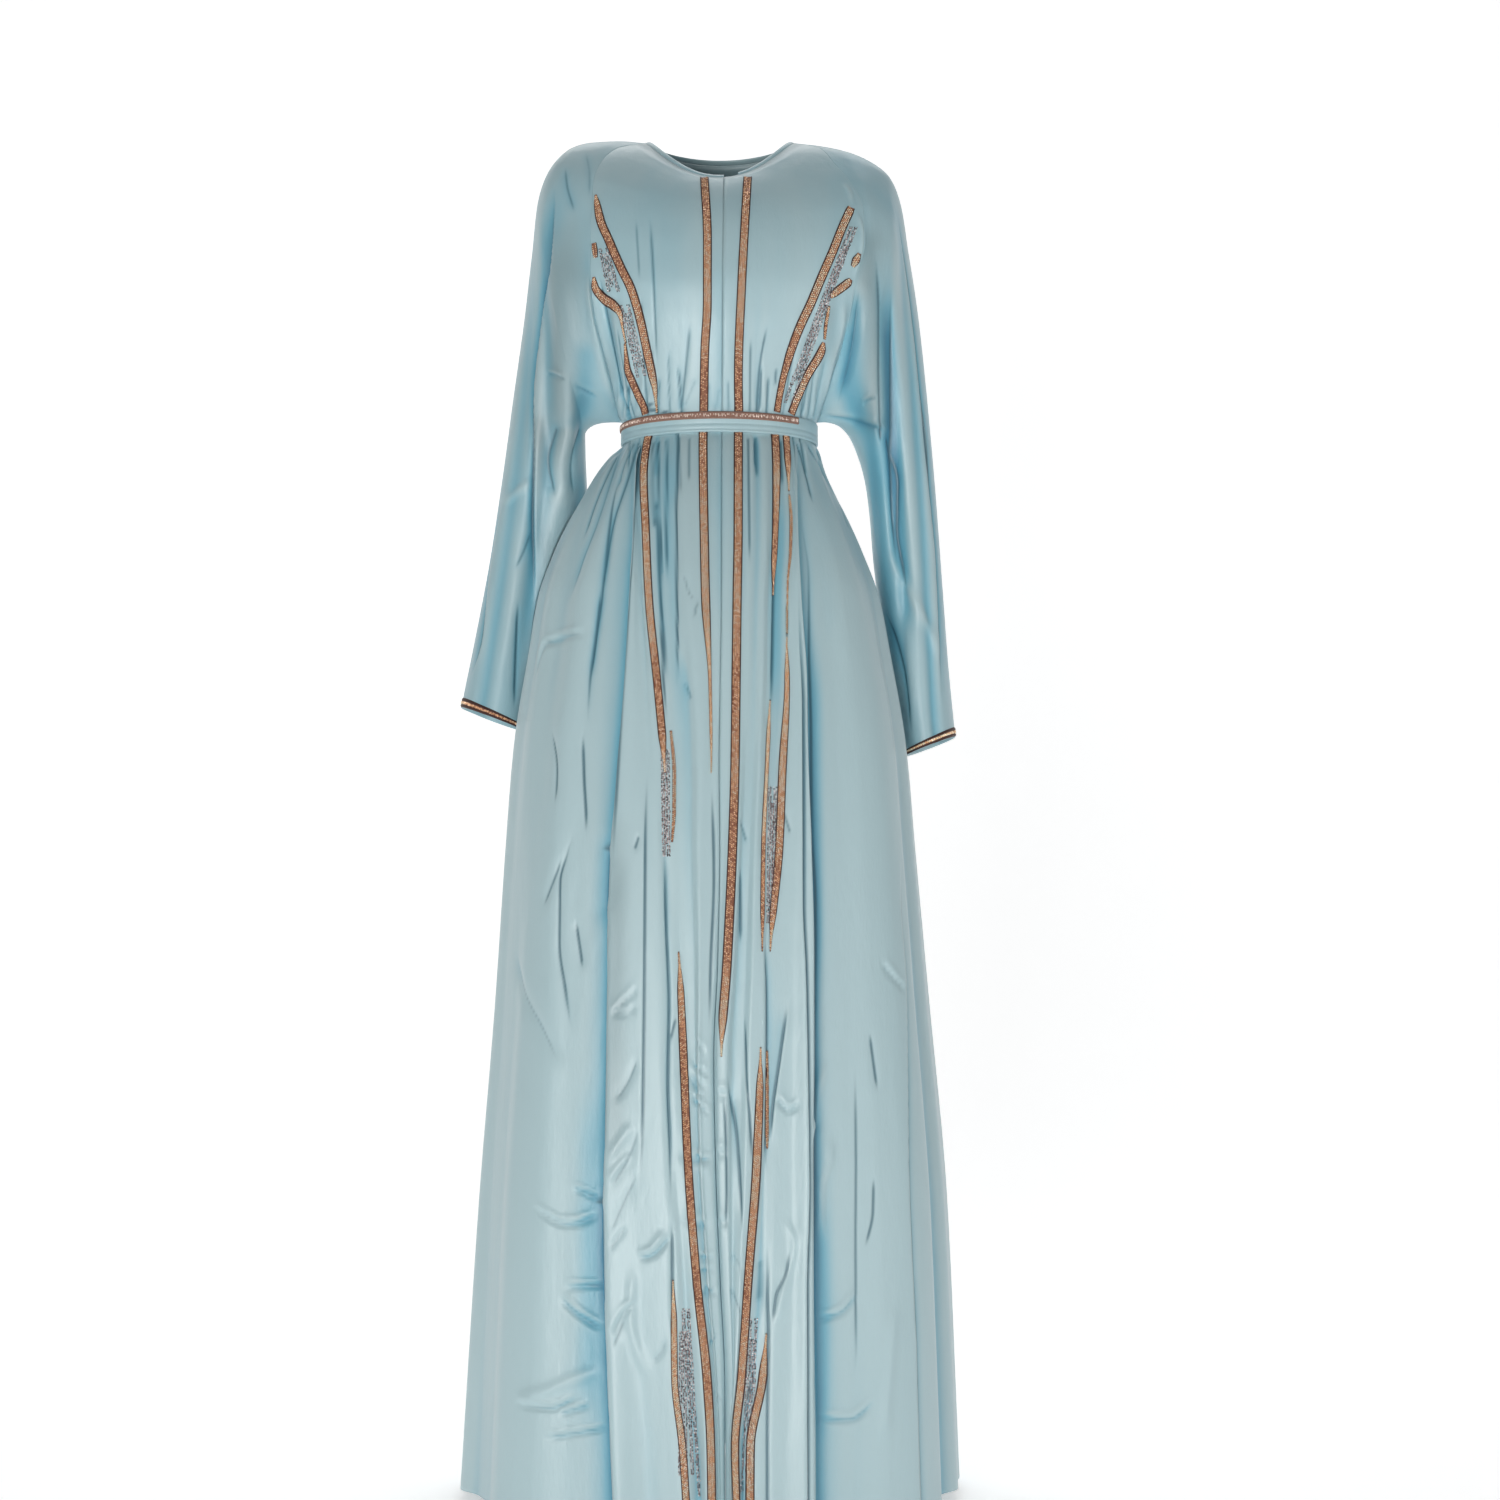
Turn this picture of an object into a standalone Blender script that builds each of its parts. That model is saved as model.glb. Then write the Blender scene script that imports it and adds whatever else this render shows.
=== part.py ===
"""Abaya: a long open-front gown of thin satin, worn and hollow, with a narrow belt and braid trims.

The frame: metres, +Z up, front towards -Y, wearer's right towards -X. The origin is the middle
of the neck at the height where the gown lies on the shoulders. "Drop" is the depth below it.
"""
from math import acos, pi

import bpy
import numpy as np
from mathutils import Vector
from mathutils.bvhtree import BVHTree

for thing in list(bpy.data.objects):
    bpy.data.objects.remove(thing, do_unlink=True)

# Driving dimensions
LENGTH = 1.520            # shoulder at the neck to the hem
CLOTH = 0.0015            # thickness of the satin walls
SEAM = 0.0003             # gap between pieces that are sewn or lie on each other
BRAID = 0.0008            # thickness of the braid
BRAID_WIDTH = 0.0098
BELT_TOP = 0.3315         # drop of the belt's upper edge
BELT_HEIGHT = 0.0235
BELT_CLOTH = 0.0018
BELT_BEADED = 0.0100      # height of the beaded braid along the belt's upper edge
BELT_BRAID_END = 0.090    # where the belt's braid stops, on the wearer's left
BINDING_WIDTH = 0.007
BINDING_CLOTH = 0.0024
CUFF_BRAID = 0.009        # height of the braid round each cuff
RIGHT = -1
LEFT = 1
FRONT = -1
BACK = 1


def table(names, *rows):
    """Short table: each named column as an array."""
    return dict(zip(names.split(), np.array(rows, dtype=float).T))


def curve(knots, values, at):
    """Smooth curve through the knots, without overshoot."""
    at = np.clip(np.asarray(at, dtype=float), knots[0], knots[-1])
    step = np.diff(knots)
    slope = np.diff(values) / step
    tangent = np.empty(len(knots))
    tangent[0] = slope[0]
    tangent[-1] = slope[-1]
    same_way = slope[:-1] * slope[1:] > 0
    total = np.where(same_way, slope[:-1] + slope[1:], 1.0)
    tangent[1:-1] = np.where(same_way, 2 * slope[:-1] * slope[1:] / total, 0.0)
    i = np.clip(np.searchsorted(knots, at) - 1, 0, len(step) - 1)
    t = (at - knots[i]) / step[i]
    return (values[i] * (1 + 2 * t) * (1 - t) ** 2 + tangent[i] * step[i] * t * (1 - t) ** 2
            + values[i + 1] * t * t * (3 - 2 * t) - tangent[i + 1] * step[i] * t * t * (1 - t))


def ease(at, start, end):
    """0 before start, 1 after end, smooth between."""
    t = np.clip((np.asarray(at, dtype=float) - start) / (end - start), 0, 1)
    return t * t * (3 - 2 * t)


# Cross-sections of the gown, from the neckline to the hem. Each row is half an oval: how far it
# drops at the middle and at the edge, how wide it is on each side, and how deep it is at the
# middle and at the edge. The edge is the raglan seam down to the waist, then the side seam.
FORM = {
    FRONT: table(
        "drop_mid drop_edge right left depth_mid depth_edge",
        (0.060, 0.005, 0.086, 0.086, 0.064, 0.012),
        (0.068, 0.016, 0.116, 0.114, 0.075, 0.030),
        (0.082, 0.040, 0.134, 0.130, 0.089, 0.052),
        (0.098, 0.065, 0.141, 0.147, 0.101, 0.068),
        (0.124, 0.100, 0.142, 0.162, 0.113, 0.080),
        (0.155, 0.138, 0.143, 0.164, 0.121, 0.086),
        (0.190, 0.180, 0.143, 0.154, 0.125, 0.084),
        (0.225, 0.220, 0.139, 0.146, 0.121, 0.073),
        (0.258, 0.257, 0.130, 0.137, 0.113, 0.056),
        (0.292, 0.292, 0.121, 0.124, 0.103, 0.033),
        (0.320, 0.320, 0.1155, 0.115, 0.0925, 0.004),
        (0.3275, 0.3275, 0.1115, 0.1115, 0.0880, 0.000),
        (0.3315, 0.3315, 0.1095, 0.1095, 0.0865, 0.000),
        (0.3550, 0.3550, 0.1095, 0.1095, 0.0865, 0.000),
        (0.3600, 0.3600, 0.1150, 0.1130, 0.0900, 0.000),
        (0.388, 0.388, 0.139, 0.122, 0.106, 0.000),
        (0.417, 0.417, 0.157, 0.135, 0.119, 0.000),
        (0.446, 0.446, 0.173, 0.149, 0.129, 0.000),
        (0.474, 0.474, 0.186, 0.161, 0.137, 0.000),
        (0.532, 0.532, 0.206, 0.182, 0.150, 0.000),
        (0.589, 0.589, 0.215, 0.193, 0.159, 0.000),
        (0.703, 0.703, 0.232, 0.212, 0.172, 0.000),
        (0.816, 0.816, 0.240, 0.221, 0.184, 0.000),
        (0.986, 0.986, 0.250, 0.235, 0.196, 0.000),
        (1.209, 1.209, 0.266, 0.253, 0.210, 0.000),
        (LENGTH, LENGTH, 0.283, 0.264, 0.228, 0.000)),
    BACK: table(
        "drop_mid drop_edge right left depth_mid depth_edge",
        (0.016, 0.005, 0.086, 0.086, 0.042, 0.012),
        (0.030, 0.016, 0.114, 0.113, 0.056, 0.026),
        (0.052, 0.040, 0.131, 0.129, 0.070, 0.044),
        (0.076, 0.065, 0.138, 0.142, 0.081, 0.058),
        (0.108, 0.100, 0.140, 0.152, 0.090, 0.068),
        (0.143, 0.138, 0.141, 0.155, 0.095, 0.074),
        (0.182, 0.180, 0.141, 0.151, 0.096, 0.073),
        (0.221, 0.220, 0.137, 0.143, 0.094, 0.065),
        (0.257, 0.257, 0.129, 0.134, 0.090, 0.052),
        (0.292, 0.292, 0.121, 0.123, 0.085, 0.031),
        (0.320, 0.320, 0.1155, 0.115, 0.080, 0.004),
        (0.3275, 0.3275, 0.1115, 0.1115, 0.0775, 0.000),
        (0.3315, 0.3315, 0.1095, 0.1095, 0.0765, 0.000),
        (0.3550, 0.3550, 0.1095, 0.1095, 0.0765, 0.000),
        (0.3600, 0.3600, 0.1150, 0.1130, 0.0810, 0.000),
        (0.388, 0.388, 0.139, 0.122, 0.102, 0.000),
        (0.417, 0.417, 0.157, 0.135, 0.118, 0.000),
        (0.446, 0.446, 0.173, 0.149, 0.131, 0.000),
        (0.474, 0.474, 0.186, 0.161, 0.140, 0.000),
        (0.532, 0.532, 0.206, 0.182, 0.153, 0.000),
        (0.589, 0.589, 0.215, 0.193, 0.162, 0.000),
        (0.703, 0.703, 0.232, 0.212, 0.176, 0.000),
        (0.816, 0.816, 0.240, 0.221, 0.188, 0.000),
        (0.986, 0.986, 0.250, 0.235, 0.202, 0.000),
        (1.209, 1.209, 0.266, 0.253, 0.218, 0.000),
        (LENGTH, LENGTH, 0.283, 0.264, 0.238, 0.000)),
}
RAGLAN_ROWS = 11          # rows from the neck to the underarm, one for each section above
WAIST_ROW = 11            # the row where side seam and underarm seam meet, just above the belt
BELT_BOTTOM = BELT_TOP + BELT_HEIGHT
BELT_MIDDLE = BELT_TOP + BELT_BEADED
SKIRT_ROWS = (0.370, 0.390, 0.418, 0.455, 0.510, 0.580, 0.660, 0.740, 0.830, 0.930, 1.040,
              1.150, 1.270, 1.330, 1.400, 1.460, LENGTH)
LOWER_ROWS = (0.3275, BELT_TOP, BELT_MIDDLE, BELT_BOTTOM, 0.3590) + SKIRT_ROWS

# Where the braids and the two largest folds run down each front, measured from the middle
# towards the side: the front opening, braids a, b and c with half their widths, and the
# overlapping edge of the large fold.
LINES = {
    RIGHT: table(
        "drop slit a a_half b b_half c c_half fold",
        (0.3315, -0.0040, 0.0165, 0.0050, 0.0725, 0.0045, 0.0800, 0.0015, 0.0880),
        (0.3600, -0.0040, 0.0170, 0.0050, 0.0795, 0.0045, 0.0862, 0.0012, 0.0905),
        (0.4000, -0.0040, 0.0165, 0.0050, 0.0825, 0.0045, 0.0888, 0.0012, 0.0930),
        (0.4700, -0.0040, 0.0150, 0.0050, 0.0790, 0.0045, 0.0862, 0.0015, 0.0935),
        (0.5500, -0.0040, 0.0130, 0.0050, 0.0745, 0.0045, 0.0835, 0.0020, 0.0970),
        (0.6400, -0.0030, 0.0080, 0.0045, 0.0650, 0.0045, 0.0790, 0.0025, 0.1010),
        (0.7300, -0.0020, 0.0065, 0.0030, 0.0565, 0.0045, 0.0750, 0.0030, 0.1070),
        (0.8200, -0.0030, 0.0075, 0.0030, 0.0515, 0.0045, 0.0700, 0.0030, 0.1120),
        (0.9400, -0.0010, 0.0090, 0.0030, 0.0400, 0.0035, 0.0640, 0.0030, 0.1150),
        (1.0400, 0.0030, 0.0120, 0.0030, 0.0350, 0.0045, 0.0590, 0.0030, 0.1160),
        (1.1500, 0.0010, 0.0100, 0.0030, 0.0300, 0.0045, 0.0540, 0.0035, 0.1170),
        (1.2700, -0.0040, 0.0030, 0.0030, 0.0205, 0.0045, 0.0445, 0.0035, 0.1150),
        (1.3700, -0.0090, -0.0030, 0.0020, 0.0095, 0.0048, 0.0430, 0.0035, 0.1110),
        (1.4400, -0.0095, -0.0055, 0.0015, 0.0055, 0.0045, 0.0345, 0.0040, 0.1080),
        (LENGTH, -0.0100, -0.0065, 0.0015, 0.0040, 0.0045, 0.0290, 0.0040, 0.1040)),
    LEFT: table(
        "drop slit a a_half b b_half c c_half fold",
        (0.3315, 0.0040, 0.0225, 0.0050, 0.0615, 0.0045, 0.0735, 0.0035, 0.0860),
        (0.3600, 0.0040, 0.0220, 0.0050, 0.0630, 0.0045, 0.0755, 0.0038, 0.0875),
        (0.4000, 0.0040, 0.0220, 0.0050, 0.0640, 0.0045, 0.0772, 0.0038, 0.0870),
        (0.4700, 0.0040, 0.0220, 0.0050, 0.0625, 0.0035, 0.0780, 0.0025, 0.0875),
        (0.5500, 0.0040, 0.0210, 0.0050, 0.0590, 0.0030, 0.0745, 0.0025, 0.0910),
        (0.6400, 0.0030, 0.0200, 0.0050, 0.0570, 0.0030, 0.0750, 0.0030, 0.0970),
        (0.7300, 0.0020, 0.0190, 0.0050, 0.0530, 0.0035, 0.0700, 0.0045, 0.0985),
        (0.8200, 0.0030, 0.0165, 0.0050, 0.0490, 0.0040, 0.0660, 0.0045, 0.1010),
        (0.9400, 0.0010, 0.0110, 0.0050, 0.0475, 0.0035, 0.0560, 0.0035, 0.1030),
        (1.0400, -0.0030, 0.0050, 0.0045, 0.0460, 0.0035, 0.0550, 0.0035, 0.1030),
        (1.1500, -0.0010, 0.0060, 0.0040, 0.0420, 0.0048, 0.0545, 0.0035, 0.1020),
        (1.2700, 0.0040, 0.0100, 0.0030, 0.0330, 0.0045, 0.0540, 0.0035, 0.1020),
        (1.3700, 0.0090, 0.0140, 0.0020, 0.0260, 0.0045, 0.0480, 0.0045, 0.1025),
        (1.4400, 0.0095, 0.0120, 0.0010, 0.0195, 0.0040, 0.0355, 0.0045, 0.1030),
        (LENGTH, 0.0100, 0.0125, 0.0010, 0.0220, 0.0035, 0.0350, 0.0045, 0.1030)),
}
# The centre braid above the belt: drop and distance from the middle.
BODICE_BRAID = {
    RIGHT: table("drop middle", (0.060, 0.0165), (0.150, 0.0120), (0.215, 0.0120), (0.270, 0.0150),
                 (0.3315, 0.0165)),
    LEFT: table("drop middle", (0.060, 0.0325), (0.133, 0.0290), (0.193, 0.0260), (0.298, 0.0220),
                (0.3315, 0.0225)),
}
NECK_SLIT = 0.006         # the front opening at the neckline, a little to the wearer's left
CREST_GAP = (0.002, 0.007)    # from the fold's edge in to its crest, at the belt and at the hem
VALLEY_GAP = (0.004, 0.011)   # and out to its valley
SPARE = (1, 0, 3, 0, 1, 0, 1, 0, 6)   # points between one line and the next

# How far each point across a front stands out, in millimetres, at four heights. The waist values
# are the gathers above and below the belt.
FOLD_HEIGHTS = np.array((0.3600, 0.5500, 0.9500, LENGTH))
FOLDS = {
    RIGHT: table(
        "waist hip knee hem",
        (0.0, 0.0, -3.0, -10.0),      # front opening
        (1.0, 1.0, 0.0, -8.0),
        (0.0, 1.0, 1.0, -6.0),        # braid a
        (0.0, 1.0, 2.0, -4.0),
        (1.5, 3.0, 4.0, -1.0),
        (-2.0, -7.0, -6.0, -2.0),
        (0.0, -2.0, -5.0, 1.0),
        (1.0, 3.0, -2.0, 4.0),        # braid b
        (1.0, 4.0, 0.0, 6.0),
        (0.0, 2.0, 4.0, -4.0),
        (-1.0, 0.0, 6.0, 4.0),        # braid c
        (-1.0, 1.0, 7.0, 5.0),
        (1.0, 5.0, 9.0, 1.0),
        (1.5, 7.0, 10.0, 12.0),       # crest
        (-2.0, -7.0, -12.0, -16.0),   # valley
        (1.5, -3.0, -4.0, -8.0),
        (-1.5, 3.0, 5.0, 6.0),
        (2.0, -2.0, 4.0, 10.0),
        (-1.5, 3.0, -2.0, -4.0),
        (2.0, -1.0, -3.0, -8.0),
        (-1.0, 1.0, 2.0, 4.0),
        (0.0, 0.0, 0.0, 0.0)),        # side seam
    LEFT: table(
        "waist hip knee hem",
        (0.0, 0.0, -3.0, -10.0),      # front opening
        (1.0, 1.0, -2.0, -8.0),
        (0.0, 1.0, 2.0, -6.0),        # braid a
        (0.0, 1.0, 4.0, -3.0),
        (1.5, 2.0, -4.0, 0.0),
        (-1.5, 0.0, -3.0, 6.0),
        (1.5, 3.0, 3.0, 3.0),
        (0.0, -2.0, 2.0, 1.0),        # braid b
        (0.0, -4.0, 1.0, 3.0),
        (-1.5, -6.0, -4.0, -5.0),
        (0.0, 0.0, -5.0, 2.0),        # braid c
        (0.0, 2.0, -6.0, 5.0),
        (-1.5, 4.0, 2.0, 6.0),
        (1.5, 8.0, 11.0, 13.0),       # crest
        (-2.0, -8.0, -13.0, -18.0),   # valley
        (1.0, -5.0, -9.0, -12.0),
        (-1.0, 2.0, 0.0, 2.0),
        (1.2, 4.0, 6.0, 8.0),
        (-1.0, 1.0, 4.0, 6.0),
        (1.2, -3.0, -7.0, -9.0),
        (-0.6, 1.0, 0.0, 3.0),
        (0.0, 0.0, 0.0, 0.0)),        # side seam
}
BACK_POINTS = 21          # points across the back
BACK_FOLDS = table("drop depth", (0.3600, 0.0018), (0.5500, 0.0045), (0.9500, 0.0080), (LENGTH, 0.0120))
BACK_UNEVEN = 0.4         # how much deeper or shallower than the average a fold of the back is
BACK_UNEVEN_PACE = 2.3    # and how fast that changes from fold to fold
BACK_SWAY = 0.5           # long shallow waves across several folds, as a share of their depth
BACK_SWAY_PACE = 1.1
BACK_SWAY_DROPS = (0.5, 1.3)  # drops between which the long waves appear
BODICE_GATHER = 0.5       # the gathers above the belt are shallower than those below it
GATHER_FADE = (0.180, 0.310)  # the gathers grow from nothing at the bust to full at the belt
GATHERS_STOP = (0.3200, 0.3275)   # drops between which they flatten to go under the belt
GATHERS_START = (0.3575, 0.3700)  # and between which they open out again below it

# Each sleeve from the shoulder to the cuff: the line over the arm, the line under it, and how far
# the sleeve bulges to the front and to the back between them. "Out" is the distance to the side.
SLEEVES = {
    RIGHT: table(
        "along over_out over_drop over_back under_out under_drop under_back front back",
        (0.00, 0.086, 0.003, 0.000, 0.1118, 0.3275, 0.000, 0.086, 0.074),
        (0.06, 0.118, 0.000, 0.003, 0.1200, 0.3268, 0.002, 0.086, 0.076),
        (0.12, 0.151, 0.001, 0.006, 0.1320, 0.3265, 0.006, 0.084, 0.076),
        (0.19, 0.188, 0.027, 0.010, 0.1460, 0.3290, 0.012, 0.080, 0.074),
        (0.26, 0.207, 0.068, 0.015, 0.1550, 0.3380, 0.020, 0.075, 0.070),
        (0.34, 0.217, 0.128, 0.020, 0.1550, 0.3620, 0.032, 0.069, 0.066),
        (0.43, 0.226, 0.200, 0.027, 0.1540, 0.4000, 0.046, 0.062, 0.062),
        (0.54, 0.239, 0.290, 0.035, 0.1620, 0.4500, 0.062, 0.056, 0.058),
        (0.66, 0.252, 0.385, 0.042, 0.1810, 0.5150, 0.074, 0.051, 0.054),
        (0.78, 0.267, 0.483, 0.048, 0.2010, 0.5800, 0.078, 0.049, 0.051),
        (0.90, 0.284, 0.575, 0.053, 0.2190, 0.6380, 0.077, 0.048, 0.050),
        (1.00, 0.299, 0.650, 0.057, 0.2290, 0.6760, 0.075, 0.048, 0.050)),
    LEFT: table(
        "along over_out over_drop over_back under_out under_drop under_back front back",
        (0.00, 0.086, 0.003, 0.000, 0.1118, 0.3275, 0.000, 0.086, 0.074),
        (0.06, 0.118, 0.006, 0.003, 0.1220, 0.3268, 0.002, 0.086, 0.076),
        (0.12, 0.151, 0.014, 0.006, 0.1340, 0.3290, 0.006, 0.084, 0.076),
        (0.19, 0.189, 0.036, 0.010, 0.1470, 0.3390, 0.012, 0.080, 0.074),
        (0.26, 0.207, 0.070, 0.015, 0.1580, 0.3600, 0.020, 0.075, 0.070),
        (0.34, 0.219, 0.130, 0.020, 0.1670, 0.3880, 0.030, 0.069, 0.066),
        (0.43, 0.230, 0.200, 0.027, 0.1730, 0.4250, 0.042, 0.062, 0.062),
        (0.54, 0.241, 0.300, 0.035, 0.1780, 0.4780, 0.056, 0.056, 0.058),
        (0.66, 0.250, 0.400, 0.042, 0.1860, 0.5400, 0.066, 0.051, 0.054),
        (0.78, 0.258, 0.510, 0.048, 0.1960, 0.6050, 0.071, 0.048, 0.051),
        (0.90, 0.265, 0.610, 0.053, 0.2080, 0.6650, 0.071, 0.047, 0.050),
        (1.00, 0.272, 0.684, 0.057, 0.2150, 0.7060, 0.070, 0.046, 0.049)),
}
SLEEVE_RINGS = (0.03, 0.07, 0.12, 0.17, 0.23, 0.29, 0.36, 0.44, 0.53, 0.62, 0.71, 0.80, 0.90)
SLEEVE_CLEARANCE = 0.008  # from the skirt's plain form, to stay clear of its folds
RAGLAN_BOW_ENDS = 0.42    # the seam's outward bow has died away this far along the sleeve
# Long folds down the sleeve: where each lies round it in degrees, from the over-arm line (0)
# round the front to the under-arm line (180) and on round the back, at its two ends; how far
# along it starts and ends; how deep it is in millimetres and how wide in degrees.
SLEEVE_FOLDS = {
    RIGHT: table(
        "turn_start turn_end start end depth width",
        (58, 112, 0.04, 0.95, 7.0, 17),
        (35, 62, 0.30, 1.20, 4.0, 14),
        (150, 150, 0.10, 0.60, 5.0, 16),
        (235, 260, 0.10, 0.90, 6.0, 20),
        (305, 300, 0.25, 1.20, 5.0, 18)),
    LEFT: table(
        "turn_start turn_end start end depth width",
        (52, 62, 0.04, 1.20, 6.0, 14),
        (88, 105, 0.10, 0.90, 7.0, 17),
        (145, 150, 0.10, 0.60, 4.0, 16),
        (240, 250, 0.10, 1.20, 6.0, 20),
        (300, 305, 0.30, 0.95, 5.0, 18)),
}

# Braids on the bodice and the skirt. The outer ones start at the raglan seam: each row is a
# point of the braid's middle line, as distance from the middle of the gown and drop.
BODICE_BRAIDS = {
    "bodice_braid_right_long": (RIGHT, BRAID_WIDTH, (
        (0.1350, 0.0960), (0.1220, 0.1410), (0.1090, 0.1720), (0.0960, 0.2000), (0.0870, 0.2300),
        (0.0800, 0.2620), (0.0740, 0.2890), (0.0710, 0.3110), (0.0700, 0.3295))),
    "bodice_braid_right_middle": (RIGHT, BRAID_WIDTH, (
        (0.1360, 0.1940), (0.1290, 0.2030), (0.1150, 0.2150), (0.1100, 0.2280))),
    "bodice_braid_right_low": (RIGHT, 0.0088, (
        (0.1060, 0.2520), (0.1030, 0.2740), (0.0970, 0.2920), (0.0890, 0.3110), (0.0820, 0.3290))),
    "bodice_braid_left_long": (LEFT, BRAID_WIDTH, (
        (0.1480, 0.1050), (0.1400, 0.1200), (0.1280, 0.1520), (0.1150, 0.1830), (0.1030, 0.2120),
        (0.0900, 0.2400), (0.0800, 0.2660), (0.0730, 0.2890), (0.0680, 0.3110), (0.0650, 0.3295))),
    "bodice_braid_left_top": (LEFT, 0.0085, (
        (0.1570, 0.1560), (0.1530, 0.1620), (0.1490, 0.1680))),
    "bodice_braid_left_middle": (LEFT, BRAID_WIDTH, (
        (0.1440, 0.1880), (0.1380, 0.1940), (0.1280, 0.2010))),
    "bodice_braid_left_thin": (LEFT, 0.0050, (
        (0.1210, 0.2250), (0.1190, 0.2350), (0.1170, 0.2450))),
    "bodice_braid_left_low": (LEFT, BRAID_WIDTH, (
        (0.1160, 0.2570), (0.1110, 0.2680), (0.1010, 0.2830), (0.0950, 0.2970), (0.0880, 0.3130),
        (0.0815, 0.3290))),
}
# Braids that follow a line of LINES: which line, and the rows of the front they run between.
BRAID_ROWS = {
    "centre_braid_right": (RIGHT, "a", 0.060, 0.740),
    "centre_braid_left": (LEFT, "a", 0.060, 1.040),
    "skirt_braid_right_upper": (RIGHT, "b", BELT_MIDDLE, 0.740),
    "skirt_braid_right_lower": (RIGHT, "b", 0.930, LENGTH),
    "skirt_braid_right_outer": (RIGHT, "c", 1.270, LENGTH),
    "skirt_braid_left_upper": (LEFT, "b", BELT_MIDDLE, 0.510),
    "skirt_braid_left_middle": (LEFT, "b", 0.660, 0.930),
    "skirt_braid_left_lower": (LEFT, "b", 1.040, LENGTH),
    "skirt_braid_left_outer_upper": (LEFT, "c", BELT_MIDDLE, 0.418),
    "skirt_braid_left_outer": (LEFT, "c", 0.580, 0.930),
    "skirt_braid_left_outer_lower": (LEFT, "c", 1.330, LENGTH),
}
SEAM_MARGIN = 0.001       # the slanting braids stop this short of the raglan seam
SLANT_LIFT = 0.0007       # the slanting braids bridge the gathers they cross
BRAID_STEP = 0.006        # length of one stretch of the slanting braids
BRAID_TIP = 0.55          # how wide a braid still is, as a share, where a fold swallows it
LINE_PLACE = {"a": 2, "b": 7, "c": 10}    # each braid's inner edge among the points across a front

SATIN = ("pale_blue_satin", (0.38, 0.58, 0.66), 0.38, 0.0)
BRAID_COPPER = ("copper_braid", (0.55, 0.27, 0.15), 0.42, 0.6)


class Sheet:
    """A grid of points on the outside of a piece of cloth, with the direction out of it at each."""

    def __init__(self, points, normals=None, ring=False, turned=False):
        self.points = np.array(points, dtype=float)
        self.ring = ring
        self.turned = turned
        self.normals = self.outward() if normals is None else np.array(normals, dtype=float)

    def outward(self):
        across = self.slopes(1, self.ring)
        down = self.slopes(0, False)
        out = np.cross(across, down)
        if self.turned:
            out = -out
        return out / np.maximum(np.linalg.norm(out, axis=2, keepdims=True), 1e-12)

    def slopes(self, axis, closed):
        if closed:
            return np.roll(self.points, -1, axis) - np.roll(self.points, 1, axis)
        return np.gradient(self.points, axis=axis)


def share_normals(*corners):
    """Give the points that meet at a seam one direction, so that the cut edges stay parallel."""
    total = sum(sheet.normals[row, column] for sheet, row, column in corners)
    total = total / np.linalg.norm(total)
    for sheet, row, column in corners:
        sheet.normals[row, column] = total


def make_solid(name, vertices, triangles, finish):
    slot, colour, roughness, metallic = finish
    material = bpy.data.materials.get(slot) or bpy.data.materials.new(slot)
    material.use_nodes = True
    shader = material.node_tree.nodes["Principled BSDF"]
    shader.inputs["Base Color"].default_value = (*colour, 1.0)
    shader.inputs["Roughness"].default_value = roughness
    shader.inputs["Metallic"].default_value = metallic
    mesh = bpy.data.meshes.new(name)
    mesh.from_pydata([tuple(v) for v in vertices], [], triangles)
    mesh.materials.append(material)
    mesh.shade_smooth()
    mesh.set_sharp_from_angle(angle=pi / 4)
    piece = bpy.data.objects.new(name, mesh)
    bpy.context.scene.collection.objects.link(piece)
    return piece


def make_wall(name, sheet, lift, thickness, finish):
    """Closed wall: the sheet's points moved out by the lift, as thick as stated."""
    rows, columns = sheet.points.shape[:2]
    near = sheet.points + sheet.normals * lift
    far = near + sheet.normals * thickness
    vertices = np.concatenate([near.reshape(-1, 3), far.reshape(-1, 3)])
    layer = rows * columns
    spans = columns if sheet.ring else columns - 1
    triangles = []

    def add(*corners):
        triangles.append(corners if sheet.turned else corners[::-1])

    def rim(a, b):
        """Cut edge, split the same way on both sides of a seam: from high inside to low outside."""
        if vertices[a][2] >= vertices[b][2]:
            add(a, layer + a, layer + b)
            add(a, layer + b, b)
        else:
            add(a, layer + a, b)
            add(layer + a, layer + b, b)

    for i in range(rows - 1):
        for j in range(spans):
            k = (j + 1) % columns
            a, b, c, d = i * columns + j, i * columns + k, (i + 1) * columns + k, (i + 1) * columns + j
            add(a, b, c)
            add(a, c, d)
            add(layer + a, layer + c, layer + b)
            add(layer + a, layer + d, layer + c)
    last = (rows - 1) * columns
    for j in range(spans):
        k = (j + 1) % columns
        rim(j, k)
        rim(last + k, last + j)
    if not sheet.ring:
        for a in range(0, last, columns):
            rim(a + columns, a)
            rim(a + columns - 1, a + 2 * columns - 1)
    return make_solid(name, vertices, triangles, finish)


# The body: two fronts and a back
def half_section(side, face, row_drop, fraction):
    """Points of one half of a cross-section. The fraction runs from the middle, 0, to the edge, 1."""
    form = FORM[face]
    drop_mid = form["drop_mid"]

    def read(name):
        return float(curve(drop_mid, form[name], row_drop))

    half = read("right" if side == RIGHT else "left")
    depth = read("depth_mid")
    reach = acos(min(max(read("depth_edge") / depth, 0.0), 1.0))
    angle = fraction * reach
    x = side * half * np.sin(angle) / np.sin(reach)
    y = face * depth * np.cos(angle)
    z = -(row_drop + (read("drop_edge") - row_drop) * (np.sin(angle) / np.sin(reach)) ** 2)
    out = np.stack([x / (half / np.sin(reach)) ** 2, y / depth ** 2, np.zeros_like(x)], axis=1)
    out = out / np.linalg.norm(out, axis=1, keepdims=True)
    return np.stack([x, y, z], axis=1), out, half / np.sin(reach), reach


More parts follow.
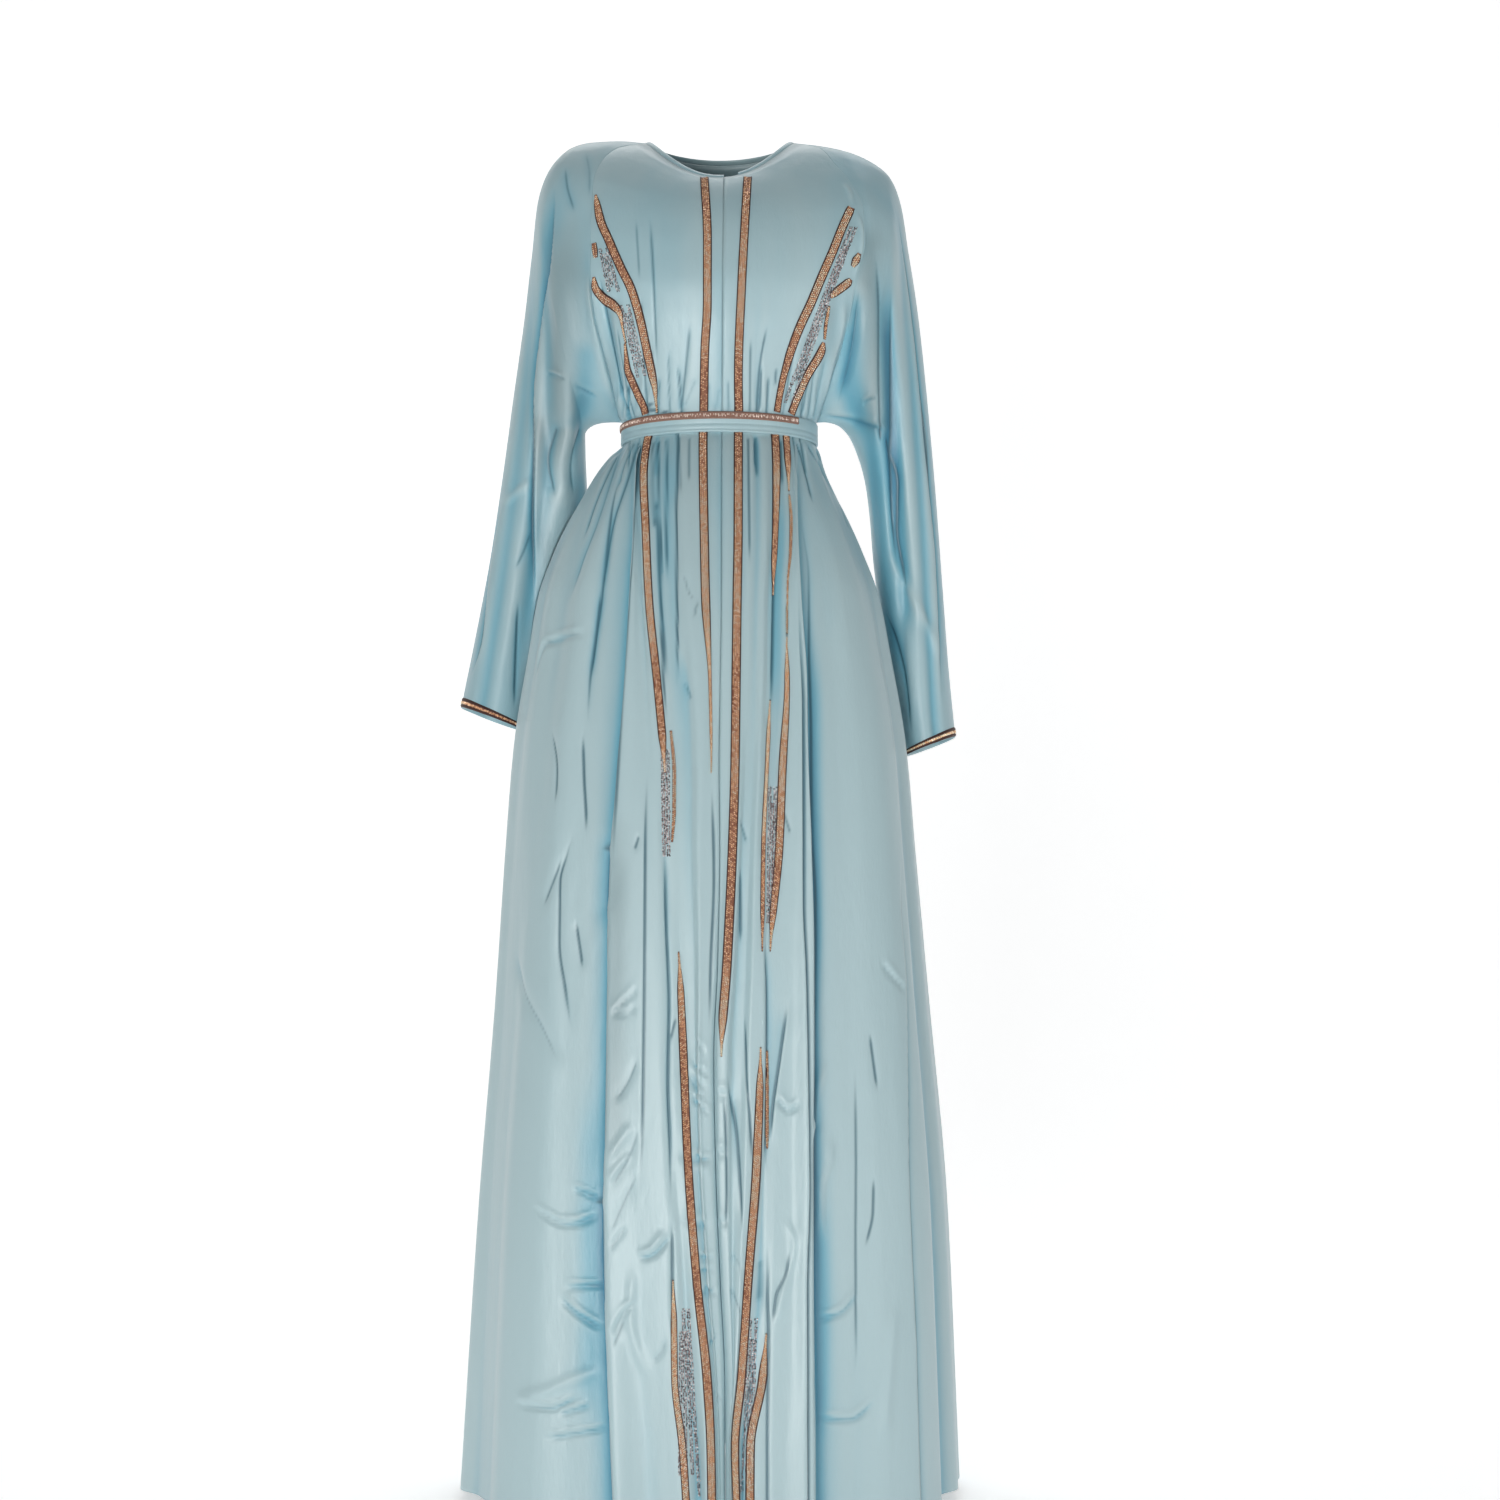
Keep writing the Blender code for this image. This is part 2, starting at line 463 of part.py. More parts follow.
def line_places(side, drop):
    """Distances from the middle of the opening, the braids' edges, the crest and the valley."""
    lines = LINES[side]

    def read(name):
        return float(curve(lines["drop"], lines[name], drop))

    down = (drop - BELT_TOP) / (LENGTH - BELT_TOP)
    crest = CREST_GAP[0] + (CREST_GAP[1] - CREST_GAP[0]) * down
    valley = VALLEY_GAP[0] + (VALLEY_GAP[1] - VALLEY_GAP[0]) * down
    places = [read("slit") + SEAM / 2]
    for braid in "abc":
        places += [read(braid) - read(braid + "_half"), read(braid) + read(braid + "_half")]
    return np.array(places + [read("fold") - crest, read("fold") + valley])


def bodice_places(side, row_drop):
    """The same above the belt for the opening and the centre braid, which alone run up to the neck."""
    braid = BODICE_BRAID[side]
    middle = float(curve(braid["drop"], braid["middle"], row_drop))
    belt_slit = LINES[LEFT]["slit"][0]
    slit = NECK_SLIT + (belt_slit - NECK_SLIT) * row_drop / BELT_TOP
    return [side * slit + SEAM / 2, middle - BRAID_WIDTH / 2, middle + BRAID_WIDTH / 2]


def spread(lines):
    """All the points across a front: the lines, and the spare points evenly between them."""
    places = [lines[0]]
    for start, end, spare in zip(lines[:-1], lines[1:], SPARE):
        places += [start + (end - start) * (i + 1) / (spare + 1) for i in range(spare + 1)]
    return np.array(places)


def front_fractions(side, row_drop):
    """Where the points across a front lie, as fractions of the half section."""
    half, reach = half_section(side, FRONT, row_drop, np.zeros(1))[2:]
    if row_drop >= BELT_TOP:
        inner = np.arcsin(line_places(side, row_drop) / half) / reach
        return spread(np.append(inner, 1.0))
    inner = np.arcsin(np.array(bodice_places(side, row_drop)) / half) / reach
    belt = front_fractions(side, BELT_TOP)
    braid_end = LINE_PLACE["a"] + 1
    gathered = (belt[braid_end:] - belt[braid_end]) / (1 - belt[braid_end])
    even = np.linspace(0, 1, len(gathered))
    share = even + (gathered - even) * ease(row_drop, *GATHER_FADE)
    outer = inner[2] + share * (1 - inner[2])
    return np.concatenate([[inner[0], (inner[0] + inner[1]) / 2, inner[1]], outer])


def gather_share(row_drop):
    """How much of the waist gathers shows: none under the belt and none up at the bust."""
    above = BODICE_GATHER * ease(row_drop, *GATHER_FADE) * (1 - ease(row_drop, *GATHERS_STOP))
    return above + ease(row_drop, *GATHERS_START)


def front_outs(side, row_drop):
    """How far each point across a front stands out, in metres."""
    folds = FOLDS[side]
    heights = np.stack([folds[name] for name in ("waist", "hip", "knee", "hem")])
    drop = max(row_drop, FOLD_HEIGHTS[0])
    outs = [float(curve(FOLD_HEIGHTS, column, drop)) for column in heights.T]
    return np.array(outs) / 1000 * gather_share(row_drop)


def back_outs(count, row_drop):
    """The same across the back: soft folds of uneven depth, fading out at the side seams."""
    depth = float(curve(BACK_FOLDS["drop"], BACK_FOLDS["depth"], max(row_drop, FOLD_HEIGHTS[0])))
    place = np.arange(count)
    uneven = 1 + BACK_UNEVEN * np.sin(BACK_UNEVEN_PACE * place + 0.7)
    wave = np.where(place % 2 == 1, 1.0, -1.0) * uneven
    sway = BACK_SWAY * np.sin(BACK_SWAY_PACE * place) * ease(row_drop, *BACK_SWAY_DROPS)
    edge = np.minimum(place, count - 1 - place) / 2
    return (wave + sway) * depth * np.minimum(edge, 1) * gather_share(row_drop)


def front_row(side, row_drop):
    points, out = half_section(side, FRONT, row_drop, front_fractions(side, row_drop))[:2]
    points = points + out * front_outs(side, row_drop)[:, None]
    if row_drop > RAGLAN_END:
        points[-1, 1] -= SEAM / 2
    return points


def back_row(row_drop):
    """Points across the back, from the wearer's right to the left."""
    fractions = np.linspace(0, 1, BACK_POINTS // 2 + 1)
    right, right_out = half_section(RIGHT, BACK, row_drop, fractions)[:2]
    left, left_out = half_section(LEFT, BACK, row_drop, fractions)[:2]
    points = np.concatenate([right[::-1], left[1:]])
    out = np.concatenate([right_out[::-1], left_out[1:]])
    points = points + out * back_outs(len(points), row_drop)[:, None]
    if row_drop > RAGLAN_END:
        points[[0, -1], 1] += SEAM / 2
    return points


RAGLAN_END = FORM[FRONT]["drop_mid"][RAGLAN_ROWS - 1]
ROWS = {face: np.append(FORM[face]["drop_mid"][:RAGLAN_ROWS], LOWER_ROWS) for face in (FRONT, BACK)}
fronts = {side: Sheet([front_row(side, drop) for drop in ROWS[FRONT]], turned=side == LEFT)
          for side in (RIGHT, LEFT)}
back = Sheet([back_row(drop) for drop in ROWS[BACK]])
BACK_EDGE = {RIGHT: 0, LEFT: -1}


# The sleeves
def sleeve_section(side, along):
    """The plain oval of a sleeve: its middle, half the line across it, and its two bulges."""
    rows = SLEEVES[side]

    def read(name):
        return float(curve(rows["along"], rows[name], along))

    over = np.array([side * read("over_out"), read("over_back"), -read("over_drop")])
    under = np.array([side * read("under_out"), read("under_back"), -read("under_drop")])
    arm = (over - under) / 2
    forward = np.array([0.0, -1.0, 0.0])
    forward = forward - arm * np.dot(forward, arm) / np.dot(arm, arm)
    forward = forward / np.linalg.norm(forward)
    return (over + under) / 2, arm, forward * read("front"), forward * read("back")


def sleeve_oval(side, along, turns):
    middle, arm, front, rear = sleeve_section(side, along)
    bulge = np.where(np.sin(turns)[:, None] > 0, front, rear)
    return middle + np.cos(turns)[:, None] * arm + np.sin(turns)[:, None] * bulge


def seam_loop(side):
    """The edge that a sleeve is sewn to: down the front raglan, up the back one, over the shoulder."""
    front_edge = fronts[side].points[:RAGLAN_ROWS, -1]
    back_edge = back.points[:RAGLAN_ROWS, BACK_EDGE[side]]
    corner = (fronts[side].points[WAIST_ROW, -1] + back.points[WAIST_ROW, BACK_EDGE[side]]) / 2
    top = (front_edge[0] + back_edge[0]) / 2
    return np.concatenate([front_edge, [corner], back_edge[::-1], [top]])


def seam_turns(side, loop):
    """The turn round the oval, in radians, at the height of each point of the seam."""
    middle, arm = sleeve_section(side, 0.0)[:2]
    rise = np.clip((loop[:, 2] - middle[2]) / arm[2], -1, 1)
    turns = np.arccos(rise)
    turns[RAGLAN_ROWS + 1:] *= -1
    turns[RAGLAN_ROWS] = pi
    turns[-1] = 0.0
    return turns


def sleeve_outs(side, along, turns):
    """How far the folds move each point of a ring, in metres: troughs, so inwards."""
    degrees = np.degrees(turns) % 360
    total = np.zeros(len(turns))
    for i in range(len(SLEEVE_FOLDS[side]["depth"])):
        fold = {name: values[i] for name, values in SLEEVE_FOLDS[side].items()}
        share = (along - fold["start"]) / (fold["end"] - fold["start"])
        if not 0 < share < 1:
            continue
        centre = fold["turn_start"] + (fold["turn_end"] - fold["turn_start"]) * share
        off = (degrees - centre + 180) % 360 - 180
        ends = ease(share, 0, 0.25) * (1 - ease(share, 0.75, 1.0))
        total -= fold["depth"] / 1000 * ends * np.exp(-(off / fold["width"]) ** 2)
    return total


def clear_of_skirt(side, points):
    """Ring points kept outside the skirt, as a sleeve is that hangs against the hip."""
    for point in points:
        face = FRONT if point[1] < 0 else BACK
        form = FORM[face]
        half = curve(form["drop_mid"], form["right" if side == RIGHT else "left"], -point[2])
        depth = curve(form["drop_mid"], form["depth_mid"], -point[2])
        share = np.hypot(point[0] / half, point[1] / depth)
        if -point[2] > BELT_BOTTOM:
            point[:2] *= max(1.0, (1 + SLEEVE_CLEARANCE / half) / share)
    return points


def sleeve_sheet(side):
    loop = seam_loop(side)
    turns = seam_turns(side, loop)
    bow = loop - sleeve_oval(side, 0.0, turns)
    rings = [loop]
    length = np.linalg.norm(sleeve_section(side, 1.0)[0] - sleeve_section(side, 0.5)[0]) * 2
    for along in SLEEVE_RINGS + (1 - CUFF_BRAID / length, 1.0):
        oval = sleeve_oval(side, along, turns)
        middle, arm, front, rear = sleeve_section(side, along)
        out = np.cos(turns)[:, None] * arm / np.dot(arm, arm)
        out = out + np.sin(turns)[:, None] * front / np.dot(front, front)
        out = out / np.linalg.norm(out, axis=1, keepdims=True)
        folds = sleeve_outs(side, along, turns)
        fade = max(0.0, 1 - along / RAGLAN_BOW_ENDS) ** 2
        rings.append(clear_of_skirt(side, oval + bow * fade + out * folds[:, None]))
    return Sheet(rings, ring=True, turned=side == RIGHT)


sleeves = {side: sleeve_sheet(side) for side in (RIGHT, LEFT)}

# The seams
ROW_COUNT = len(ROWS[FRONT])
for row in range(ROW_COUNT):
    share_normals((fronts[RIGHT], row, 0), (fronts[LEFT], row, 0))
for side in (RIGHT, LEFT):
    sleeve = sleeves[side]
    for row in range(WAIST_ROW + 1, ROW_COUNT):
        share_normals((fronts[side], row, -1), (back, row, BACK_EDGE[side]))
    share_normals((fronts[side], WAIST_ROW, -1), (back, WAIST_ROW, BACK_EDGE[side]),
                  (sleeve, 0, RAGLAN_ROWS))
    for row in range(RAGLAN_ROWS):
        share_normals((fronts[side], row, -1), (sleeve, 0, row))
        share_normals((back, row, BACK_EDGE[side]), (sleeve, 0, 2 * RAGLAN_ROWS - row))

    along_seam = np.roll(sleeve.points[0], -1, 0) - np.roll(sleeve.points[0], 1, 0)
    away = np.cross(along_seam, sleeve.normals[0])
    away *= np.sign(np.sum(away * (sleeve.points[1] - sleeve.points[0]), axis=1, keepdims=True))
    sleeve.points[0] += away / np.linalg.norm(away, axis=1, keepdims=True) * SEAM

SIDE_NAMES = {RIGHT: "right", LEFT: "left"}
for side, name in SIDE_NAMES.items():
    make_wall("front_" + name, fronts[side], -CLOTH, CLOTH, SATIN)
    make_wall("sleeve_" + name, sleeves[side], -CLOTH, CLOTH, SATIN)
make_wall("back", back, -CLOTH, CLOTH, SATIN)


# Braids that run down with the fronts, over the belt line and into the folds
def line_strip(side, line, top, bottom):
    """Part of a front between two of its lines, narrowed where it ends in a fold."""
    first, last = (int(np.argmin(np.abs(ROWS[FRONT] - drop))) for drop in (top, bottom))
    place = LINE_PLACE[line]
    part = slice(first, last + 1), slice(place, place + 2)
    strip = Sheet(fronts[side].points[part], fronts[side].normals[part], turned=side == LEFT)
    for row, swallowed in ((0, top > BELT_MIDDLE), (-1, bottom < LENGTH)):
        if swallowed:
            edge, other = strip.points[row]
            strip.points[row, 1] = edge + BRAID_TIP * (other - edge)
    return strip


for name, (side, line, top, bottom) in BRAID_ROWS.items():
    make_wall(name, line_strip(side, line, top, bottom), SEAM, BRAID, BRAID_COPPER)


# Braids that slant across the bodice from the raglan seams to the belt
BELT_ROWS = [RAGLAN_ROWS + LOWER_ROWS.index(drop) for drop in (BELT_TOP, BELT_MIDDLE, BELT_BOTTOM)]


def outer_face(sheet):
    """The outside of a front as triangles, to lay a braid on."""
    columns = sheet.points.shape[1]
    faces = []
    for i in range(BELT_ROWS[-1]):
        for j in range(columns - 1):
            a, b = i * columns + j, (i + 1) * columns + j
            faces += [(a, a + 1, b + 1), (a, b + 1, b)]
    return BVHTree.FromPolygons([Vector(p) for p in sheet.points.reshape(-1, 3)], faces), faces


def lay(sheet, tree, faces, x, z):
    """The point of the cloth straight behind x and z, and the direction out of the cloth there."""
    spot, flat_normal, face, distance = tree.ray_cast(Vector((x, -1.0, z)), Vector((0, 1, 0)))
    corners = sheet.points.reshape(-1, 3)[list(faces[face])]
    normals = sheet.normals.reshape(-1, 3)[list(faces[face])]
    weights = np.linalg.lstsq(corners.T, np.array(spot), rcond=None)[0]
    normal = weights @ normals
    return np.array(spot), normal / np.linalg.norm(normal)


def cut_at_seam(side, x, z):
    """The same place, or the nearest one on the front where the raglan seam cuts it off."""
    edge = fronts[side].points[:RAGLAN_ROWS, -1]
    reach = np.interp(-z, -edge[:, 2], side * edge[:, 0]) - SEAM_MARGIN
    return side * min(side * x, reach), z


def slanted_strip(side, width, path):
    """Braid on a front along a path of distances from the middle and drops, over its gathers."""
    path = np.array(path) * (side, -1)
    lengths = np.append(0, np.cumsum(np.linalg.norm(np.diff(path, axis=0), axis=1)))
    steps = np.linspace(0, lengths[-1], max(2, int(lengths[-1] / BRAID_STEP)) + 1)
    middle = np.stack([curve(lengths, path[:, 0], steps), curve(lengths, path[:, 1], steps)], axis=1)
    down = np.gradient(middle, axis=0)
    down /= np.linalg.norm(down, axis=1, keepdims=True)
    tree, faces = outer_face(fronts[side])
    rows = []
    for spot, along in zip(middle, down):
        across = np.array([along[1], -along[0]]) * width / 2
        spots = [cut_at_seam(side, *(spot + across * share)) for share in (-1, -0.5, 0, 0.5, 1)]
        laid = [lay(fronts[side], tree, faces, x, z) for x, z in spots]
        humps = [np.dot(laid[i][0] - (laid[i - 1][0] + laid[i + 1][0]) / 2, laid[i][1]) for i in (1, 3)]
        rows.append([(point + normal * max(0.0, *humps), normal) for point, normal in laid[::2]])
    points = [[point for point, normal in row] for row in rows]
    normals = [[normal for point, normal in row] for row in rows]
    return Sheet(points, normals)


for name, (side, width, path) in BODICE_BRAIDS.items():
    make_wall(name, slanted_strip(side, width, path), SLANT_LIFT, BRAID, BRAID_COPPER)


# The belt, over the braids, and the beaded braid along its upper edge
def all_round(row):
    """Points and normals of one row all round the gown: right front, back, left front."""
    sheets = ((fronts[RIGHT], slice(None)), (back, slice(1, -1)), (fronts[LEFT], slice(None, 0, -1)))
    points = np.concatenate([sheet.points[row, part] for sheet, part in sheets])
    normals = np.concatenate([sheet.normals[row, part] for sheet, part in sheets])
    return points, normals


rounds = [all_round(row) for row in BELT_ROWS]
belt = Sheet([points for points, normals in rounds], [normals for points, normals in rounds], ring=True)
BELT_LIFT = SEAM + BRAID + SEAM
make_wall("belt", belt, BELT_LIFT, BELT_CLOTH, SATIN)

plain = np.flatnonzero(belt.points[0, :, 0] > BELT_BRAID_END)
order = np.append(np.arange(plain[-1] + 1, belt.points.shape[1]), np.arange(plain[0]))
strip = Sheet(belt.points[:2, order], belt.normals[:2, order])
make_wall("belt_braid", strip, BELT_LIFT + BELT_CLOTH + SEAM, BRAID, BRAID_COPPER)


# The narrow binding round the neckline, open at the front
def neckline():
    """Points, normals and the way up out of the cloth along the top edges of all the pieces."""
    rows = []
    for side, step in ((RIGHT, 1), (LEFT, -1)):
        front, sleeve = fronts[side], sleeves[side]
        edge = [(front.points[0, j], front.normals[0, j], front.points[0, j] - front.points[1, j])
                for j in range(front.points.shape[1])]
        top = sleeve.points[0, -1], sleeve.normals[0, -1], sleeve.points[0, -1] - sleeve.points[1, -1]
        rows.append(edge[::2] + [edge[-1], top])
    rear = [(back.points[0, j], back.normals[0, j], back.points[0, j] - back.points[1, j])
            for j in range(back.points.shape[1])]
    return rows[0] + rear + rows[1][::-1]


edge = neckline()
points = np.array([point for point, normal, up in edge])
normals = np.array([normal for point, normal, up in edge])
ups = np.array([up / np.linalg.norm(up) for point, normal, up in edge])
binding = Sheet([points + ups * BINDING_WIDTH, points + ups * SEAM], [normals, normals])
make_wall("neck_binding", binding, -(CLOTH + BINDING_CLOTH) / 2, BINDING_CLOTH, SATIN)

# The braid round each cuff
for side, name in SIDE_NAMES.items():
    cuff = Sheet(sleeves[side].points[-2:], sleeves[side].normals[-2:], ring=True, turned=side == RIGHT)
    make_wall("cuff_braid_" + name, cuff, SEAM, BRAID, BRAID_COPPER)
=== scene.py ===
"""Abaya: the look of a long open-front gown of pale blue satin with copper-coloured beaded braids.

Metres, +Z up, front towards -Y, wearer's right towards -X. "Drop" is the depth below the origin,
which lies in the middle of the neck where the gown rests on the shoulders.
"""
from math import acos, cos, pi, radians, sin

import bpy
import numpy as np
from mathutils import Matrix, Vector
from mathutils.bvhtree import BVHTree


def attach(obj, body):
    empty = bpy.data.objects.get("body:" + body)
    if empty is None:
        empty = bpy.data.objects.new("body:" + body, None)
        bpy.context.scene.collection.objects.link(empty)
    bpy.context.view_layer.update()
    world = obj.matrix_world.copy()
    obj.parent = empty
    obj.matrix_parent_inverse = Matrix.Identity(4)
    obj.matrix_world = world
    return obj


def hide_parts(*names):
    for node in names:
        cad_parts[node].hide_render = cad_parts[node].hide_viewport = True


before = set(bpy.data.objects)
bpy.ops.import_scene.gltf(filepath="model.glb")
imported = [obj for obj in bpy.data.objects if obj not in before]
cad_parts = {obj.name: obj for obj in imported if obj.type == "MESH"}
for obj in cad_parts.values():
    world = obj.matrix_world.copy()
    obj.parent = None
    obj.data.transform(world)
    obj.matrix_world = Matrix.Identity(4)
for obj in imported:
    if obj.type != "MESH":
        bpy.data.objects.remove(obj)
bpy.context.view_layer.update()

# The two fronts and the back
# Each front is one length of satin from the neck to the hem, gathered by the belt and falling in
# long overlapping folds; the back is gathered the same way. They are sewn together down the
# sides, and each free edge is turned in and stitched.

RIGHT = -1
LEFT = 1
FRONT = -1
BACK = 1
LENGTH = 1.520            # shoulder at the neck to the hem
SEAM = 0.0003             # gap between pieces that are sewn
BRAID_WIDTH = 0.0098
BELT_TOP = 0.3315         # drop of the belt's upper edge
BELT_HEIGHT = 0.0235


def table(names, *rows):
    """Short table: each named column as an array."""
    return dict(zip(names.split(), np.array(rows, dtype=float).T))


def curve(knots, values, at):
    """Smooth curve through the knots, without overshoot."""
    at = np.clip(np.asarray(at, dtype=float), knots[0], knots[-1])
    step = np.diff(knots)
    slope = np.diff(values) / step
    tangent = np.empty(len(knots))
    tangent[0] = slope[0]
    tangent[-1] = slope[-1]
    same_way = slope[:-1] * slope[1:] > 0
    total = np.where(same_way, slope[:-1] + slope[1:], 1.0)
    tangent[1:-1] = np.where(same_way, 2 * slope[:-1] * slope[1:] / total, 0.0)
    i = np.clip(np.searchsorted(knots, at) - 1, 0, len(step) - 1)
    t = (at - knots[i]) / step[i]
    return (values[i] * (1 + 2 * t) * (1 - t) ** 2 + tangent[i] * step[i] * t * (1 - t) ** 2
            + values[i + 1] * t * t * (3 - 2 * t) - tangent[i + 1] * step[i] * t * t * (1 - t))


def distances(path):
    """How far along a path each of its points lies."""
    return np.append(0, np.cumsum(np.linalg.norm(np.diff(path, axis=0), axis=1)))


def ease(at, start, end):
    """0 before start, 1 after end, smooth between."""
    t = np.clip((np.asarray(at, dtype=float) - start) / (end - start), 0, 1)
    return t * t * (3 - 2 * t)


# Sections from the waist to the hem, where both edges lie at one height: the width on the right
# and on the left, and the depth in front and behind.
BELOW_WAIST = table(
    "drop right left front back",
    (0.3275, 0.1115, 0.1115, 0.0880, 0.0775),
    (0.3315, 0.1095, 0.1095, 0.0865, 0.0765),
    (0.3550, 0.1095, 0.1095, 0.0865, 0.0765),
    (0.3600, 0.1150, 0.1130, 0.0900, 0.0810),
    (0.388, 0.139, 0.122, 0.106, 0.102),
    (0.417, 0.157, 0.135, 0.119, 0.118),
    (0.446, 0.173, 0.149, 0.129, 0.131),
    (0.474, 0.186, 0.161, 0.137, 0.140),
    (0.532, 0.206, 0.182, 0.150, 0.153),
    (0.589, 0.215, 0.193, 0.159, 0.162),
    (0.703, 0.232, 0.212, 0.172, 0.176),
    (0.816, 0.240, 0.221, 0.184, 0.188),
    (0.986, 0.250, 0.235, 0.196, 0.202),
    (1.209, 0.266, 0.253, 0.210, 0.218),
    (LENGTH, 0.283, 0.264, 0.228, 0.238))


def below_waist(depth):
    """These sections as rows of FORM, with the depth from the named column."""
    drops = BELOW_WAIST["drop"]
    return zip(drops, drops, BELOW_WAIST["right"], BELOW_WAIST["left"], BELOW_WAIST[depth], 0 * drops)


# Cross-sections of the gown, from the neckline to the hem. Each row is half an oval: how far it
# drops at the middle and at the edge, how wide it is on each side, and how deep it is at the
# middle and at the edge. The edge is the raglan seam down to the waist, then the side seam.
FORM = {
    FRONT: table(
        "drop_mid drop_edge right left depth_mid depth_edge",
        (0.060, 0.005, 0.086, 0.086, 0.064, 0.012),
        (0.068, 0.016, 0.116, 0.114, 0.075, 0.030),
        (0.082, 0.040, 0.134, 0.130, 0.089, 0.052),
        (0.098, 0.065, 0.141, 0.147, 0.101, 0.068),
        (0.124, 0.100, 0.142, 0.162, 0.113, 0.080),
        (0.155, 0.138, 0.143, 0.164, 0.121, 0.086),
        (0.190, 0.180, 0.143, 0.154, 0.125, 0.084),
        (0.225, 0.220, 0.139, 0.146, 0.121, 0.073),
        (0.258, 0.257, 0.130, 0.137, 0.113, 0.056),
        (0.292, 0.292, 0.121, 0.124, 0.103, 0.033),
        (0.320, 0.320, 0.1155, 0.115, 0.0925, 0.004),
        *below_waist("front")),
    BACK: table(
        "drop_mid drop_edge right left depth_mid depth_edge",
        (0.016, 0.005, 0.086, 0.086, 0.042, 0.012),
        (0.030, 0.016, 0.114, 0.113, 0.056, 0.026),
        (0.052, 0.040, 0.131, 0.129, 0.070, 0.044),
        (0.076, 0.065, 0.138, 0.142, 0.081, 0.058),
        (0.108, 0.100, 0.140, 0.152, 0.090, 0.068),
        (0.143, 0.138, 0.141, 0.155, 0.095, 0.074),
        (0.182, 0.180, 0.141, 0.151, 0.096, 0.073),
        (0.221, 0.220, 0.137, 0.143, 0.094, 0.065),
        (0.257, 0.257, 0.129, 0.134, 0.090, 0.052),
        (0.292, 0.292, 0.121, 0.123, 0.085, 0.031),
        (0.320, 0.320, 0.1155, 0.115, 0.080, 0.004),
        *below_waist("back")),
}
# Where the braids and the two largest folds run down each front, measured from the middle
# towards the side: the front opening, braids a, b and c with half their widths, and the
# overlapping edge of the large fold.
LINES = {
    RIGHT: table(
        "drop slit a a_half b b_half c c_half fold",
        (0.3315, -0.0040, 0.0165, 0.0050, 0.0725, 0.0045, 0.0800, 0.0015, 0.0880),
        (0.3600, -0.0040, 0.0170, 0.0050, 0.0795, 0.0045, 0.0862, 0.0012, 0.0905),
        (0.4000, -0.0040, 0.0165, 0.0050, 0.0825, 0.0045, 0.0888, 0.0012, 0.0930),
        (0.4700, -0.0040, 0.0150, 0.0050, 0.0790, 0.0045, 0.0862, 0.0015, 0.0935),
        (0.5500, -0.0040, 0.0130, 0.0050, 0.0745, 0.0045, 0.0835, 0.0020, 0.0970),
        (0.6400, -0.0030, 0.0080, 0.0018, 0.0650, 0.0045, 0.0790, 0.0025, 0.1010),
        (0.7300, -0.0020, 0.0065, 0.0014, 0.0565, 0.0045, 0.0750, 0.0030, 0.1070),
        (0.8200, -0.0030, 0.0075, 0.0030, 0.0515, 0.0045, 0.0700, 0.0030, 0.1120),
        (0.9400, -0.0010, 0.0090, 0.0030, 0.0400, 0.0035, 0.0640, 0.0030, 0.1150),
        (1.0400, 0.0030, 0.0120, 0.0030, 0.0350, 0.0045, 0.0590, 0.0030, 0.1160),
        (1.1500, 0.0010, 0.0100, 0.0030, 0.0300, 0.0045, 0.0540, 0.0035, 0.1170),
        (1.2700, -0.0040, 0.0030, 0.0030, 0.0205, 0.0045, 0.0445, 0.0035, 0.1150),
        (1.3700, -0.0090, -0.0030, 0.0020, 0.0095, 0.0048, 0.0430, 0.0035, 0.1110),
        (1.4400, -0.0095, -0.0055, 0.0015, 0.0055, 0.0045, 0.0345, 0.0040, 0.1080),
        (LENGTH, -0.0100, -0.0065, 0.0015, 0.0040, 0.0045, 0.0290, 0.0040, 0.1040)),
    LEFT: table(
        "drop slit a a_half b b_half c c_half fold",
        (0.3315, 0.0040, 0.0225, 0.0050, 0.0615, 0.0045, 0.0735, 0.0035, 0.0860),
        (0.3600, 0.0040, 0.0220, 0.0050, 0.0630, 0.0045, 0.0755, 0.0038, 0.0875),
        (0.4000, 0.0040, 0.0220, 0.0050, 0.0640, 0.0045, 0.0772, 0.0038, 0.0870),
        (0.4700, 0.0040, 0.0220, 0.0050, 0.0625, 0.0035, 0.0780, 0.0025, 0.0875),
        (0.5500, 0.0040, 0.0210, 0.0050, 0.0590, 0.0030, 0.0745, 0.0025, 0.0910),
        (0.6400, 0.0030, 0.0200, 0.0050, 0.0570, 0.0030, 0.0750, 0.0030, 0.0970),
        (0.7300, 0.0020, 0.0190, 0.0050, 0.0530, 0.0021, 0.0700, 0.0045, 0.0985),
        (0.8200, 0.0030, 0.0165, 0.0050, 0.0490, 0.0023, 0.0660, 0.0045, 0.1010),
        (0.9400, 0.0010, 0.0110, 0.0050, 0.0475, 0.0022, 0.0560, 0.0035, 0.1030),
        (1.0400, -0.0030, 0.0050, 0.0045, 0.0460, 0.0035, 0.0550, 0.0035, 0.1030),
        (1.1500, -0.0010, 0.0060, 0.0040, 0.0420, 0.0048, 0.0545, 0.0035, 0.1020),
        (1.2700, 0.0040, 0.0100, 0.0030, 0.0330, 0.0045, 0.0540, 0.0035, 0.1020),
        (1.3700, 0.0090, 0.0140, 0.0020, 0.0260, 0.0045, 0.0480, 0.0045, 0.1025),
        (1.4400, 0.0095, 0.0120, 0.0010, 0.0195, 0.0040, 0.0355, 0.0045, 0.1030),
        (LENGTH, 0.0100, 0.0125, 0.0010, 0.0220, 0.0035, 0.0350, 0.0045, 0.1030)),
}
